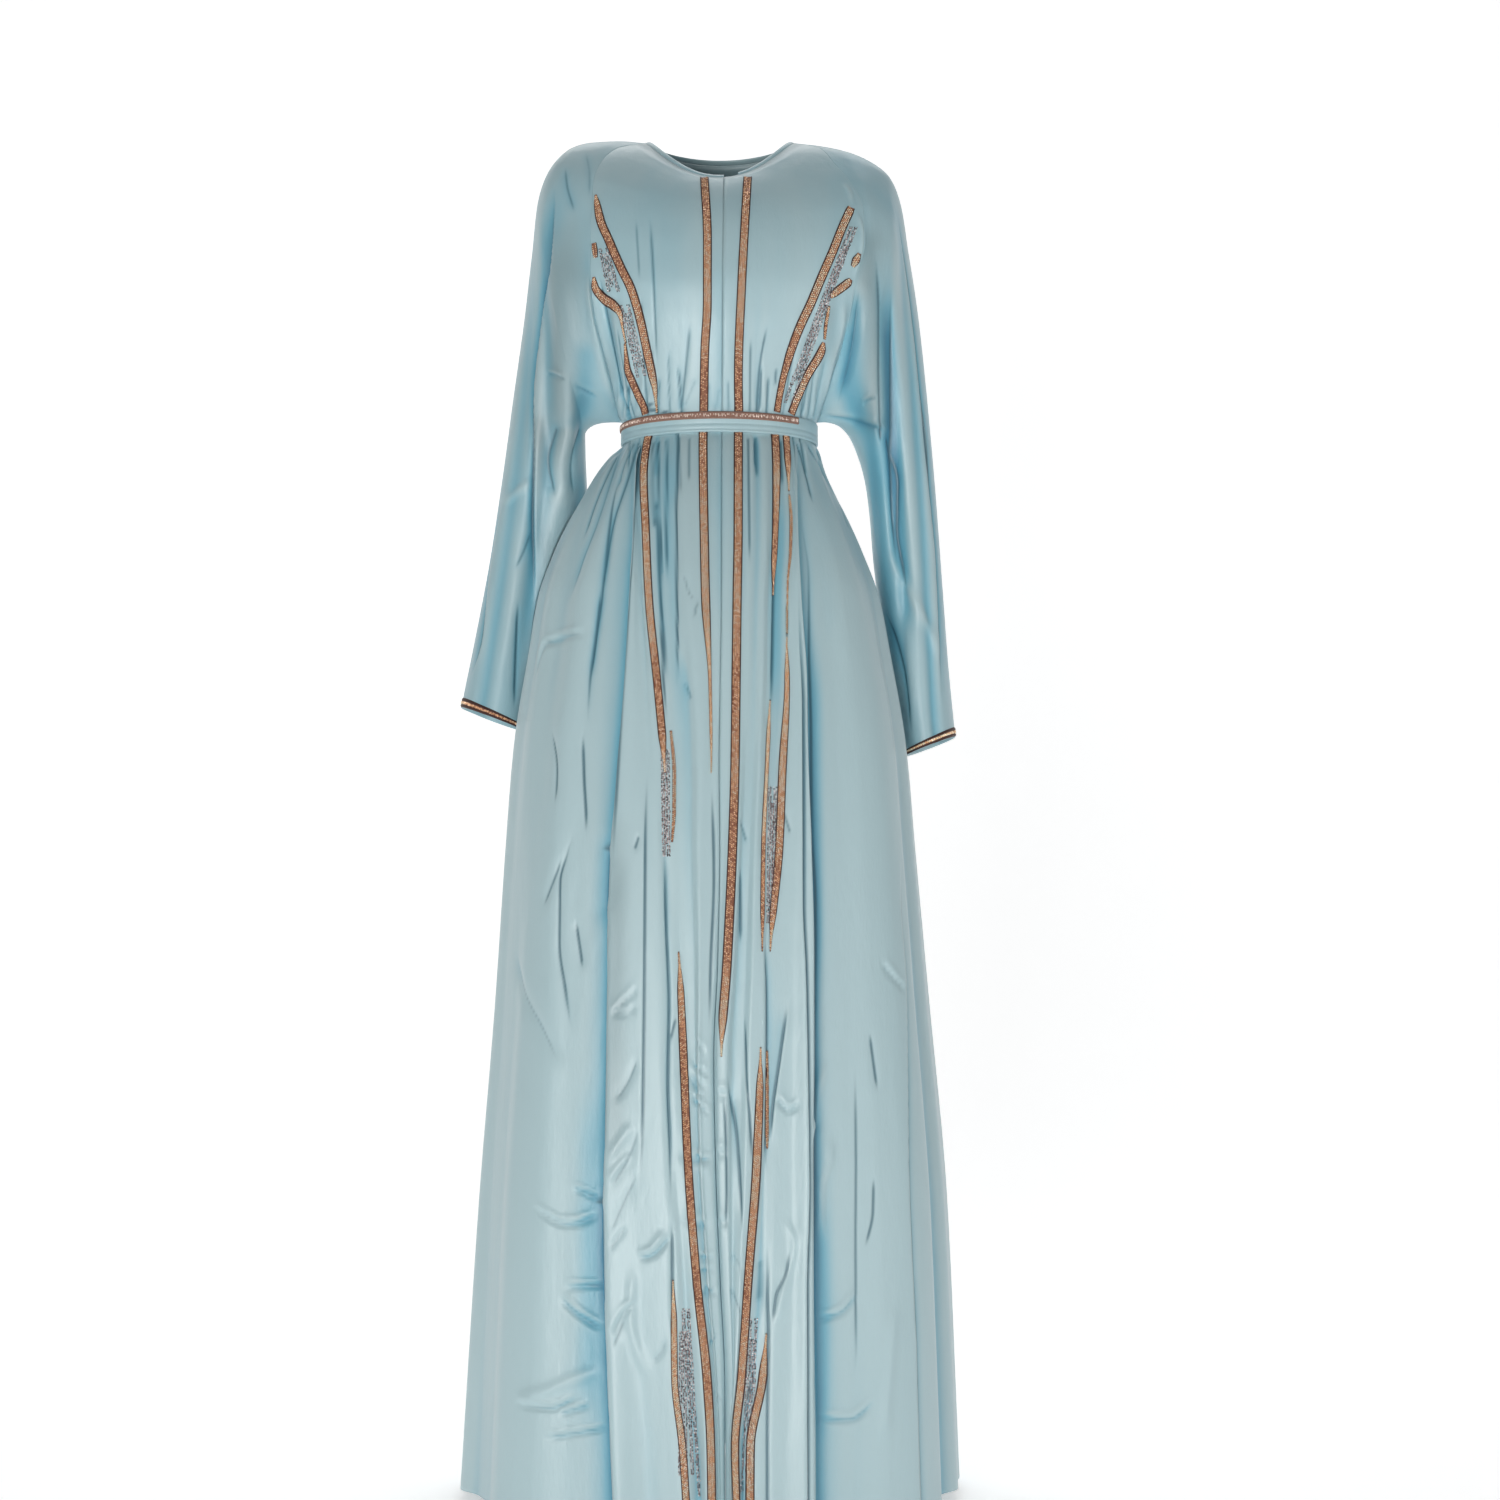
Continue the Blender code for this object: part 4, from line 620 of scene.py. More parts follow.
# A painted grey shade where a shade is laid.
colour = satin.mix(satin.trait("shadow"), colour, SATIN_SHADE)
slubs = satin.noise((900.0, 900.0, 60.0), 2.0)
weave = satin.noise((2600.0, 2600.0, 2600.0), 1.0)
creasing = satin.noise((55.0, 55.0, 16.0), 4.0, 0.55)
relief = satin.bump(creasing, 0.0030, 0.35)
fine = satin.node("ShaderNodeBump", {}, {"Height": slubs * 0.7 + weave * 0.3, "Distance": 0.0003,
                                         "Strength": 0.25, "Normal": relief}, 0)
satin.show(Base_Color=colour, Roughness=0.35 + slubs * 0.10, Normal=fine)


def half_section(side, face, row_drop, fraction):
    """Points of one half of a cross-section. The fraction runs from the middle, 0, to the edge, 1."""
    form = FORM[face]
    drop_mid = form["drop_mid"]

    def read(name):
        return float(curve(drop_mid, form[name], row_drop))

    half = read("right" if side == RIGHT else "left")
    depth = read("depth_mid")
    reach = acos(min(max(read("depth_edge") / depth, 0.0), 1.0))
    angle = fraction * reach
    x = side * half * np.sin(angle) / np.sin(reach)
    y = face * depth * np.cos(angle)
    z = -(row_drop + (read("drop_edge") - row_drop) * (np.sin(angle) / np.sin(reach)) ** 2)
    out = np.stack([x / (half / np.sin(reach)) ** 2, y / depth ** 2, np.zeros_like(x)], axis=1)
    out = out / np.linalg.norm(out, axis=1, keepdims=True)
    return np.stack([x, y, z], axis=1), out, half / np.sin(reach), reach


def line_places(side, drop):
    """Distances from the middle of the opening, the braids' edges, the crest and the valley."""
    lines = LINES[side]

    def read(name):
        return float(curve(lines["drop"], lines[name], drop))

    down = (drop - BELT_TOP) / (LENGTH - BELT_TOP)
    crest = CREST_GAP[0] + (CREST_GAP[1] - CREST_GAP[0]) * down
    valley = VALLEY_GAP[0] + (VALLEY_GAP[1] - VALLEY_GAP[0]) * down
    places = [read("slit") + SEAM / 2]
    for braid in "abc":
        places += [read(braid) - read(braid + "_half"), read(braid) + read(braid + "_half")]
    return np.array(places + [read("fold") - crest, read("fold") + valley])


def bodice_places(side, row_drop):
    """The same above the belt for the opening and the centre braid, which alone run up to the neck."""
    braid = BODICE_BRAID[side]
    middle = float(curve(braid["drop"], braid["middle"], row_drop))
    belt_slit = LINES[LEFT]["slit"][0]
    slit = NECK_SLIT + (belt_slit - NECK_SLIT) * row_drop / BELT_TOP
    return [side * slit + SEAM / 2, middle - BRAID_WIDTH / 2, middle + BRAID_WIDTH / 2]


def spread(lines):
    """All the points across a front: the lines, and the spare points evenly between them."""
    places = [lines[0]]
    for start, end, spare in zip(lines[:-1], lines[1:], SPARE):
        places += [start + (end - start) * (i + 1) / (spare + 1) for i in range(spare + 1)]
    return np.array(places)


def front_fractions(side, row_drop):
    """Where the points across a front lie, as fractions of the half section."""
    half, reach = half_section(side, FRONT, row_drop, np.zeros(1))[2:]
    if row_drop >= BELT_TOP:
        inner = np.arcsin(line_places(side, row_drop) / half) / reach
        return spread(np.append(inner, 1.0))
    inner = np.arcsin(np.array(bodice_places(side, row_drop)) / half) / reach
    belt = front_fractions(side, BELT_TOP)
    gathered = (belt[BRAID_A_END:] - belt[BRAID_A_END]) / (1 - belt[BRAID_A_END])
    even = np.linspace(0, 1, len(gathered))
    share = even + (gathered - even) * ease(row_drop, *GATHER_FADE)
    outer = inner[2] + share * (1 - inner[2])
    return np.concatenate([[inner[0], (inner[0] + inner[1]) / 2, inner[1]], outer])


def gather_share(row_drop):
    """How much of the waist gathers shows: none under the belt and none up at the bust."""
    above = BODICE_GATHER * ease(row_drop, *GATHER_FADE) * (1 - ease(row_drop, *GATHERS_STOP))
    return above + ease(row_drop, *GATHERS_START)


def front_outs(side, row_drop):
    """How far each point across a front stands out, in metres."""
    folds = FOLDS[side]
    heights = np.stack([folds[name] for name in ("waist", "hip", "knee", "hem")])
    drop = max(row_drop, FOLD_HEIGHTS[0])
    outs = [float(curve(FOLD_HEIGHTS, column, drop)) for column in heights.T]
    return np.array(outs) / 1000 * gather_share(row_drop)


def back_outs(count, row_drop):
    """The same across the back: soft folds of uneven depth, fading out at the side seams."""
    depth = float(curve(BACK_FOLDS["drop"], BACK_FOLDS["depth"], max(row_drop, FOLD_HEIGHTS[0])))
    place = np.arange(count)
    uneven = 1 + BACK_UNEVEN * np.sin(BACK_UNEVEN_PACE * place + 0.7)
    wave = np.where(place % 2 == 1, 1.0, -1.0) * uneven
    sway = BACK_SWAY * np.sin(BACK_SWAY_PACE * place) * ease(row_drop, *BACK_SWAY_DROPS)
    edge = np.minimum(place, count - 1 - place) / 2
    return (wave + sway) * depth * np.minimum(edge, 1) * gather_share(row_drop)


def front_row(side, row_drop, places):
    """Points across a front at one height, and how far each stands out of the plain form."""
    knots = np.arange(FRONT_POINTS, dtype=float)
    fractions = curve(knots, front_fractions(side, row_drop), places)
    stand = curve(knots, front_outs(side, row_drop), places)
    points, out = half_section(side, FRONT, row_drop, fractions)[:2]
    points = points + out * stand[:, None]
    if row_drop > RAGLAN_END:
        points[-1, 1] -= SEAM / 2
    return points, stand


def back_row(row_drop, places):
    """The same across the back, from the wearer's right to the left."""
    stand = curve(np.arange(BACK_POINTS, dtype=float), back_outs(BACK_POINTS, row_drop), places)
    fractions = np.abs(places / (BACK_POINTS - 1) * 2 - 1)
    right, right_out = half_section(RIGHT, BACK, row_drop, fractions)[:2]
    left, left_out = half_section(LEFT, BACK, row_drop, fractions)[:2]
    on_right = (places < (BACK_POINTS - 1) / 2)[:, None]
    points = np.where(on_right, right, left) + np.where(on_right, right_out, left_out) * stand[:, None]
    if row_drop > RAGLAN_END:
        points[[0, -1], 1] += SEAM / 2
    return points, stand


def even_places(row, count, last, forward):
    """Places that part a row's points evenly, closer together where the row faces the front."""
    places = np.linspace(0, last, SPACING_STEPS)
    points = row(places)[0]
    step = np.abs(np.diff(points, axis=0))
    length = np.hypot(step[:, 0], step[:, 1]) * (1 - forward) + step[:, 0] * forward
    along = np.append(0, np.cumsum(length))
    return np.interp(np.linspace(0, along[-1], count), along, places)


def row_drops(top, count):
    """Heights of the rows of a panel's fine grid."""
    drops = np.linspace(top, LENGTH, ROW_STEPS)
    crowded = 1 / curve(ROW_SPACING["drop"], ROW_SPACING["spacing"], drops)
    along = np.append(0, np.cumsum(crowded[1:]))
    return np.interp(np.linspace(0, along[-1], count), along, drops)


def strike(tree, x, drop, facing):
    """Where a line of sight at x and drop meets the cloth, and which way the cloth faces there."""
    return tree.ray_cast(Vector((x, 0, -drop)) - facing, facing)[:2]


def trace(tree, path, facing):
    """A path of x and drop in millimetres, laid on the cloth: points a few millimetres apart."""
    path = np.array(path, dtype=float) / 1000
    lengths = distances(path)
    steps = np.linspace(0, lengths[-1], max(4, int(lengths[-1] / CREASE_STEP)) + 1)
    spots = []
    for x, drop in zip(curve(lengths, path[:, 0], steps), curve(lengths, path[:, 1], steps)):
        hit = strike(tree, x, drop, facing)[0]
        if hit is not None:
            spots.append(hit)
    return np.array(spots)


def nearest_on(line, spots):
    """For each spot the way to it from the nearest point of a line, and how far along that lies."""
    run = np.diff(line, axis=0)
    relative = spots[:, None] - line[None, :-1]
    share = np.clip((relative * run).sum(2) / (run ** 2).sum(1), 0, 1)
    gap = relative - share[..., None] * run
    nearest = (gap ** 2).sum(2).argmin(1)
    pick = np.arange(len(spots))
    along = (nearest + share[pick, nearest]) / len(run)
    return gap[pick, nearest], along, run[nearest] / np.linalg.norm(run[nearest], axis=1, keepdims=True)


class Cloth:
    """A fine grid of points on the outside of a panel, and how far its folds stand out at each."""

    def __init__(self, rows, ring=False, turned=False, seams=()):
        self.points = np.array([points for points, stand in rows])
        self.stand = np.array([stand for points, stand in rows])
        self.ring = ring
        self.turned = turned
        down, across = np.indices(self.stand.shape)
        steps_in = {"top": down, "first": across, "last": across.max() - across}
        self.loose = np.ones(self.stand.shape)
        # Painted shadow lines, painted shade and light, and painted grey shade, for the colour.
        self.line = np.zeros(self.stand.size)
        self.painted_shade_and_light = np.zeros(self.stand.size)
        self.shadow = np.zeros(self.stand.size)
        for seam in seams:
            self.loose *= ease(steps_in[seam], 0, SEAM_HOLD)

    def normals(self):
        if self.ring:
            across = np.roll(self.points, -1, 1) - np.roll(self.points, 1, 1)
        else:
            across = np.gradient(self.points, axis=1)
        out = np.cross(across, np.gradient(self.points, axis=0)) * (-1 if self.turned else 1)
        return out / np.maximum(np.linalg.norm(out, axis=2, keepdims=True), 1e-12)

    def quads(self, index):
        """Faces between the rows of a grid of point numbers."""
        here, beside = (index, np.roll(index, -1, 1)) if self.ring else (index[:, :-1], index[:, 1:])
        faces = np.stack([here[:-1], beside[:-1], beside[1:], here[1:]], axis=2).reshape(-1, 4)
        return faces[:, ::-1] if self.turned else faces

    def tree(self):
        faces = self.quads(np.arange(self.stand.size).reshape(self.stand.shape))
        return BVHTree.FromPolygons(self.points.reshape(-1, 3).tolist(), faces.tolist())

    def press(self, creases, facing=FROM_FRONT):
        """Lay creases into the cloth. Each has a kind, a depth and width in mm, and a path."""
        tree = self.tree()
        spots = self.points.reshape(-1, 3)
        normals = self.normals().reshape(-1, 3)
        moved = np.zeros(len(spots))
        slipped = np.zeros(spots.shape)
        towards = np.array(facing)
        for kind, depth, width, *path in creases:
            line = trace(tree, path, facing)
            if len(line) < 3:
                continue
            reach = width / 1000 * CREASE_REACH
            near = np.all((spots > line.min(0) - reach) & (spots < line.max(0) + reach), axis=1)
            near = np.flatnonzero(near & (normals @ towards < 0.3))
            if len(near) == 0:
                continue
            gap, along, run = nearest_on(line, spots[near])
            far = np.linalg.norm(gap, axis=1) / (width / 1000)
            top, foot = path[0][1], path[-1][1]
            ends = 1.0 if BELT_EDGES[0] < top < BELT_EDGES[1] else ease(along, 0, CREASE_FADE)
            ends = ends * (1.0 if foot > HEM_EDGE or BELT_EDGES[0] < foot < BELT_EDGES[1]
                           else 1 - ease(along, 1 - CREASE_FADE, 1.0))
            steep = abs(run[:, 2]).mean() ** 4
            distance = np.linalg.norm(gap, axis=1)
            # Painted shade and light only, in the colour: a shade greys it, the other deepens its blue, or
            # paler below 0.
            if kind in ("shade", "tint"):
                toned = self.shadow if kind == "shade" else self.painted_shade_and_light
                toned[near] += depth / TONE_PARTS * ends * np.exp(-far ** 2)
                continue
            if kind == "trough" and steep < CRUMPLE_STEEP:
                width *= CRUMPLE_SHARP
                depth *= CRUMPLE_DEEP
                far = far / CRUMPLE_SHARP
            if kind == "ridge":
                shape = np.exp(-far ** 2)
            elif kind == "trough":
                keen = CREASE_KEEN * steep
                shape = -(1 - keen) * np.exp(-far ** 2) - keen * np.exp(-KEEN_FALL * far)
                if steep < CRUMPLE_STEEP:
                    above = gap[:, 2] / (width / 1000) - CRUMPLE_LIP_RISE
                    reached = far / CRUMPLE_LIP_REACH
                    shape += CRUMPLE_LIP * np.exp(-above ** 2 - reached ** 2)
                # A painted shadow line along the crease's bottom, and painted shade deepening the colour in
                # it.
                drawn = np.exp(-(distance / LINE_REACH) ** 2) * ends * min(depth / LINE_DEPTH, 1)
                drawn *= max(steep, CRUMPLE_LINE)
                self.line[near] = np.maximum(self.line[near], drawn)
                self.painted_shade_and_light[near] += TROUGH_SHADE_SHARE * depth * ends * np.exp(-far ** 2) * (0.4 + 0.6 * steep)
            else:
                proud = 1 if kind == "lap_left" else -1
                across = (gap * np.cross(normals[near], run)).sum(1) * proud
                shape = 0.5 * np.tanh(across / LAP_EDGE) * np.exp(-far / LAP_FALL)
                away = gap * (np.sign(across) / np.maximum(np.linalg.norm(gap, axis=1), 1e-9))[:, None]
                slip = (np.exp(-(across / LAP_EDGE - 1) ** 2) - np.exp(-(across / LAP_EDGE + 1) ** 2)) * ends
                slipped[near] -= away * (slip * depth / 1000 * LAP_SLIP)[:, None]
                # A painted shadow line at the foot of the lap's edge, and painted shade on its low side.
                drawn = np.exp(-(across / LINE_REACH + 1) ** 2) * ends * min(depth / LINE_DEPTH, 1)
                self.line[near] = np.maximum(self.line[near], drawn)
                beside = np.where(across < 0, np.exp(-far / LAP_SHADE_FALL), 0)
                self.painted_shade_and_light[near] += LAP_SHADE * depth * ends * beside
            moved[near] += depth / 1000 * ends * shape
        loose = self.loose.reshape(-1)
        moved *= loose
        self.points = (spots + normals * moved[:, None] + slipped * loose[:, None]).reshape(self.points.shape)
        self.stand = self.stand + moved.reshape(self.stand.shape)

    def hollow(self, scales):
        """How deep in folds of such scales each point lies, for the painted shade in them: about 0 on the
        flat, 1 deep down.
        """
        total = np.zeros(self.stand.shape)
        for reach, tall, depth, share in scales:
            wide = np.pad(self.stand, ((0, 0), (reach, reach)), mode="wrap" if self.ring else "edge")
            wide = np.pad(wide, ((tall, tall), (0, 0)), mode="edge")
            around = np.lib.stride_tricks.sliding_window_view(wide, (2 * tall + 1, 2 * reach + 1))
            total += share * np.clip((around.mean(axis=(2, 3)) - self.stand) / depth, -0.8, 1.6)
        return total.reshape(-1)

    def sew(self, name, finish, slot, edges, shade=0.0):
        """The panel as a mesh, with the named cut edges turned in behind it."""
        count = self.stand.size
        main = np.arange(count).reshape(self.stand.shape)
        vertices = [self.points.reshape(-1, 3)]
        faces = [self.quads(main)]
        behind = self.points - self.normals() * SATIN_CLOTH
        for edge in edges:
            part, order = {
                "top": (np.s_[:TURNED_IN], np.s_[::-1]), "bottom": (np.s_[-TURNED_IN:], np.s_[::-1]),
                "first": (np.s_[:, :TURNED_IN], np.s_[:, ::-1]),
                "last": (np.s_[:, -TURNED_IN:], np.s_[:, ::-1])}[edge]
            back = behind[part][order]
            index = count + np.arange(back.shape[0] * back.shape[1]).reshape(back.shape[:2])
            count += index.size
            vertices.append(back.reshape(-1, 3))
            joined = {"top": lambda: np.vstack([index, main[:1]]),
                      "bottom": lambda: np.vstack([main[-1:], index]),
                      "first": lambda: np.hstack([index, main[:, :1]]),
                      "last": lambda: np.hstack([main[:, -1:], index])}[edge]()
            faces.append(self.quads(joined))
        inside = np.zeros(count - self.stand.size)
        # The colour reads the painted shade in folds, troughs and beside laps, painted light where it is
        # below 0, the painted shadow lines and the painted grey shade.
        return make_piece(name, np.concatenate(vertices), np.concatenate(faces), finish, slot,
                          hollow=np.append(self.hollow(HOLLOWS) + self.painted_shade_and_light + np.ravel(shade), inside),
                          line=np.append(self.line, inside), shadow=np.append(self.shadow, inside))


def make_piece(name, vertices, faces, finish, slot, smooth=True, **traits):
    """A mesh with a number at each point for every trait that its finish reads."""
    mesh = bpy.data.meshes.new(name)
    mesh.from_pydata(vertices.tolist(), [], faces.tolist())
    for trait, values in traits.items():
        attribute = mesh.attributes.new(trait, "FLOAT", "POINT")
        attribute.data.foreach_set("value", np.asarray(values, dtype=float))
    mesh.materials.append(finish.material)
    if smooth:
        mesh.shade_smooth()
    piece = bpy.data.objects.new(name, mesh)
    bpy.context.scene.collection.objects.link(piece)
    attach(piece, "root")
    return piece


fronts = {}
for side, name in ((RIGHT, "front_right"), (LEFT, "front_left")):
    places = even_places(lambda p: front_row(side, SPACING_DROP, p), FRONT_COLUMNS, FRONT_POINTS - 1,
                         FRONT_FACING)
    rows = [front_row(side, drop, places) for drop in row_drops(NECK_DROP, FRONT_ROWS)]
    fronts[side] = Cloth(rows, turned=side == LEFT, seams=("last",))
    fronts[side].press(FRONT_CREASES)
places = even_places(lambda p: back_row(SPACING_DROP, p), BACK_COLUMNS, BACK_POINTS - 1, BACK_FACING)
back = Cloth([back_row(drop, places) for drop in row_drops(BACK_NECK_DROP, BACK_ROWS)],
             seams=("first", "last"))
back.press(BACK_CREASES, FROM_BACK)
for name, cloth in (("front_right", fronts[RIGHT]), ("front_left", fronts[LEFT]), ("back", back)):
    paler = SKIRT_SHADE * ease(-cloth.points[..., 2], *SKIRT_SHADE_DROPS)
    panel = cloth.sew(name + "_satin", satin, "pale_blue_satin", ("top", "bottom", "first", "last"), paler)
    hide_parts(name)


# The two sleeves
# Raglan sleeves of the same satin, cut in one with a deep armhole: wide at the shoulder, with one
# long fold down each, narrow at the cuff. Each is sewn to the fronts and the back along the raglan.

# Each sleeve from the shoulder to the cuff: the line over the arm, the line under it, and how far
# the sleeve bulges to the front and to the back between them. "Out" is the distance to the side.
SLEEVES = {
    RIGHT: table(
        "along over_out over_drop over_back under_out under_drop under_back front back",
        (0.00, 0.086, 0.003, 0.000, 0.1118, 0.3275, 0.000, 0.086, 0.074),
        (0.06, 0.118, 0.000, 0.003, 0.1200, 0.3268, 0.002, 0.086, 0.076),
        (0.12, 0.151, 0.001, 0.006, 0.1320, 0.3265, 0.006, 0.084, 0.076),
        (0.19, 0.188, 0.027, 0.010, 0.1460, 0.3290, 0.012, 0.080, 0.074),
        (0.26, 0.207, 0.068, 0.015, 0.1550, 0.3380, 0.020, 0.075, 0.070),
        (0.34, 0.217, 0.128, 0.020, 0.1550, 0.3620, 0.032, 0.069, 0.066),
        (0.43, 0.226, 0.200, 0.027, 0.1540, 0.4000, 0.046, 0.062, 0.062),
        (0.54, 0.239, 0.290, 0.035, 0.1620, 0.4500, 0.062, 0.056, 0.058),
        (0.66, 0.252, 0.385, 0.042, 0.1810, 0.5150, 0.074, 0.051, 0.054),
        (0.78, 0.267, 0.483, 0.048, 0.2010, 0.5800, 0.078, 0.049, 0.051),
        (0.90, 0.284, 0.575, 0.053, 0.2190, 0.6380, 0.077, 0.048, 0.050),
        (1.00, 0.299, 0.650, 0.057, 0.2290, 0.6760, 0.075, 0.048, 0.050)),
    LEFT: table(
        "along over_out over_drop over_back under_out under_drop under_back front back",
        (0.00, 0.086, 0.003, 0.000, 0.1118, 0.3275, 0.000, 0.086, 0.074),
        (0.06, 0.118, 0.006, 0.003, 0.1220, 0.3268, 0.002, 0.086, 0.076),
        (0.12, 0.151, 0.014, 0.006, 0.1340, 0.3290, 0.006, 0.084, 0.076),
        (0.19, 0.189, 0.036, 0.010, 0.1470, 0.3390, 0.012, 0.080, 0.074),
        (0.26, 0.207, 0.070, 0.015, 0.1580, 0.3600, 0.020, 0.075, 0.070),
        (0.34, 0.219, 0.130, 0.020, 0.1670, 0.3880, 0.030, 0.069, 0.066),
        (0.43, 0.230, 0.200, 0.027, 0.1730, 0.4250, 0.042, 0.062, 0.062),
        (0.54, 0.241, 0.300, 0.035, 0.1780, 0.4780, 0.056, 0.056, 0.058),
        (0.66, 0.250, 0.400, 0.042, 0.1860, 0.5400, 0.066, 0.051, 0.054),
        (0.78, 0.258, 0.510, 0.048, 0.1960, 0.6050, 0.071, 0.048, 0.051),
        (0.90, 0.265, 0.610, 0.053, 0.2080, 0.6650, 0.071, 0.047, 0.050),
        (1.00, 0.272, 0.684, 0.057, 0.2150, 0.7060, 0.070, 0.046, 0.049)),
}
SLEEVE_CLEARANCE = 0.008  # from the skirt's plain form, to stay clear of its folds
RAGLAN_BOW_ENDS = 0.42    # the seam's outward bow has died away this far along the sleeve
# Long folds down the sleeve: where each lies round it in degrees, from the over-arm line (0)
# round the front to the under-arm line (180) and on round the back, at its two ends; how far
# along it starts and ends; how deep it is in millimetres and how wide in degrees.
SLEEVE_FOLDS = {
    RIGHT: table(
        "turn_start turn_end start end depth width",
        (58, 112, 0.04, 0.95, 7.0, 17),
        (35, 62, 0.30, 1.20, 4.0, 14),
        (150, 150, 0.10, 0.60, 5.0, 16),
        (235, 260, 0.10, 0.90, 6.0, 20),
        (305, 300, 0.25, 1.20, 5.0, 18)),
    LEFT: table(
        "turn_start turn_end start end depth width",
        (52, 62, 0.04, 1.20, 6.0, 14),
        (88, 105, 0.10, 0.90, 7.0, 17),
        (145, 150, 0.10, 0.60, 4.0, 16),
        (240, 250, 0.10, 1.20, 6.0, 20),
        (300, 305, 0.30, 0.95, 5.0, 18)),
}
SLEEVE_RING_COUNT = 236
SLEEVE_SHADE = 0.08       # the sleeves hang back from the light, so they look a little deeper
SLEEVE_HALF = 98          # points down the front of a ring, and as many up its back
SLEEVE_TOP = 5            # and over the shoulder between them
SLEEVE_CREASES = {
    RIGHT: (
        ("shade", 5.0, 36, (-166, 90), (-172, 160), (-178, 240), (-184, 340), (-192, 420)),
        ("tint", 4.0, 12, (-150, 240), (-154, 300), (-164, 330)),
        ("shade", 2.5, 9, (-205, 330), (-205, 420), (-203, 500)),
        ("lap_left", 4.5, 14, (-190, 50), (-185, 80), (-186, 118), (-189, 158), (-198, 194), (-204, 234),
         (-210, 277), (-212, 311), (-211, 364), (-212, 430), (-212, 498), (-212, 560)),
        ("trough", 3.0, 6, (-188, 100), (-190, 158), (-200, 200), (-207, 240), (-213, 300), (-213, 400),
         (-214, 520)),
        ("lap_left", 3.0, 10, (-250, 409), (-265, 496), (-272, 572), (-288, 622)),
        ("trough", 2.5, 6, (-230, 524), (-233, 598), (-235, 659)),
        ("trough", 1.2, 4, (-198, 273), (-173, 285)),
        ("trough", 1.2, 4, (-165, 291), (-138, 303)),
        ("ridge", 1.5, 5, (-251, 417), (-213, 393)),
        ("trough", 1.5, 6, (-175, 40), (-172, 68), (-161, 106)),
        ("trough", 1.2, 6, (-153, 19), (-146, 57), (-145, 89)),
        ("trough", 3.0, 9, (-187, 338), (-196, 371), (-187, 416)),
        ("trough", 3.0, 8, (-159, 336), (-169, 382), (-166, 413)),
        ("ridge", 2.0, 8, (-172, 345), (-180, 380), (-178, 430)),
        ("ridge", 3.5, 5, (-148, 163), (-143, 205), (-137, 246), (-128, 285), (-116, 322)),
        ("trough", 1.5, 5, (-235, 496), (-223, 473), (-214, 449))),
    LEFT: (
        ("shade", 4.8, 18, (158, 90), (164, 140), (172, 230), (178, 330)),
        ("tint", 4.5, 14, (146, 220), (150, 290), (160, 328)),
        ("tint", 6.0, 10, (184, 180), (191, 300), (198, 440)),
        ("tint", 5.0, 13, (176, 340), (184, 440), (196, 540), (206, 640)),
        ("lap_right", 3.5, 12, (191, 57), (201, 89), (207, 125), (214, 164), (220, 209), (225, 253),
         (230, 298), (237, 345), (241, 406), (248, 479), (252, 587), (255, 668)),
        ("trough", 2.5, 3.5, (191, 57), (207, 125), (220, 209), (230, 298), (241, 406), (248, 479),
         (254, 620)),
        ("trough", 2.0, 4, (173, 146), (177, 167), (180, 210), (181, 287), (183, 349)),
        ("trough", 6.0, 12, (194, 170), (196, 240), (197, 306), (198, 417), (205, 509)),
        ("trough", 3.0, 7, (193, 351), (204, 399), (204, 448), (211, 498), (218, 534)),
        ("ridge", 2.0, 6, (189, 466), (218, 521), (248, 581), (254, 601)),
        ("trough", 4.0, 9, (188, 531), (212, 615), (221, 689)),
        ("ridge", 2.5, 8, (215, 535), (218, 600), (220, 696)),
        ("trough", 7.0, 7, (158, 186), (156, 215), (151, 250), (143, 282), (131, 318)),
        ("trough", 1.2, 4, (162, 312), (169, 308), (180, 306)),
        ("trough", 1.5, 6, (117, 320), (149, 326), (183, 341))),
}
SLEEVE_BACK_CREASES = {
    RIGHT: (
        ("lap_right", 3.5, 13, (-150, 60), (-166, 140), (-182, 230), (-200, 330), (-224, 450), (-246, 560)),
        ("trough", 2.2, 6, (-176, 110), (-192, 220), (-208, 320), (-224, 400)),
        ("trough", 1.6, 5, (-226, 380), (-204, 396), (-184, 392)),
        ("trough", 2.0, 7, (-232, 500), (-246, 580), (-256, 640)),
        ("trough", 1.5, 5, (-150, 250), (-172, 262), (-196, 258))),
    LEFT: (
        ("lap_left", 3.5, 13, (152, 70), (170, 160), (186, 250), (202, 360), (220, 480), (236, 600)),
        ("trough", 2.4, 6, (180, 90), (198, 200), (212, 310), (222, 400)),
        ("trough", 1.6, 5, (226, 420), (206, 432), (192, 426)),
        ("trough", 2.0, 7, (222, 520), (236, 600), (244, 660)),
        ("trough", 1.5, 5, (146, 230), (170, 244), (190, 238))),
}


def sleeve_section(side, along):
    """The plain oval of a sleeve: its middle, half the line across it, and its two bulges."""
    rows = SLEEVES[side]

    def read(name):
        return float(curve(rows["along"], rows[name], along))

    over = np.array([side * read("over_out"), read("over_back"), -read("over_drop")])
    under = np.array([side * read("under_out"), read("under_back"), -read("under_drop")])
    arm = (over - under) / 2
    forward = np.array([0.0, -1.0, 0.0])
    forward = forward - arm * np.dot(forward, arm) / np.dot(arm, arm)
    forward = forward / np.linalg.norm(forward)
    return (over + under) / 2, arm, forward * read("front"), forward * read("back")


def sleeve_oval(side, along, turns):
    """Points round the plain oval of a sleeve, at turns in radians."""
    middle, arm, front, rear = sleeve_section(side, along)
    bulge = np.where(np.sin(turns)[:, None] > 0, front, rear)
    return middle + np.cos(turns)[:, None] * arm + np.sin(turns)[:, None] * bulge


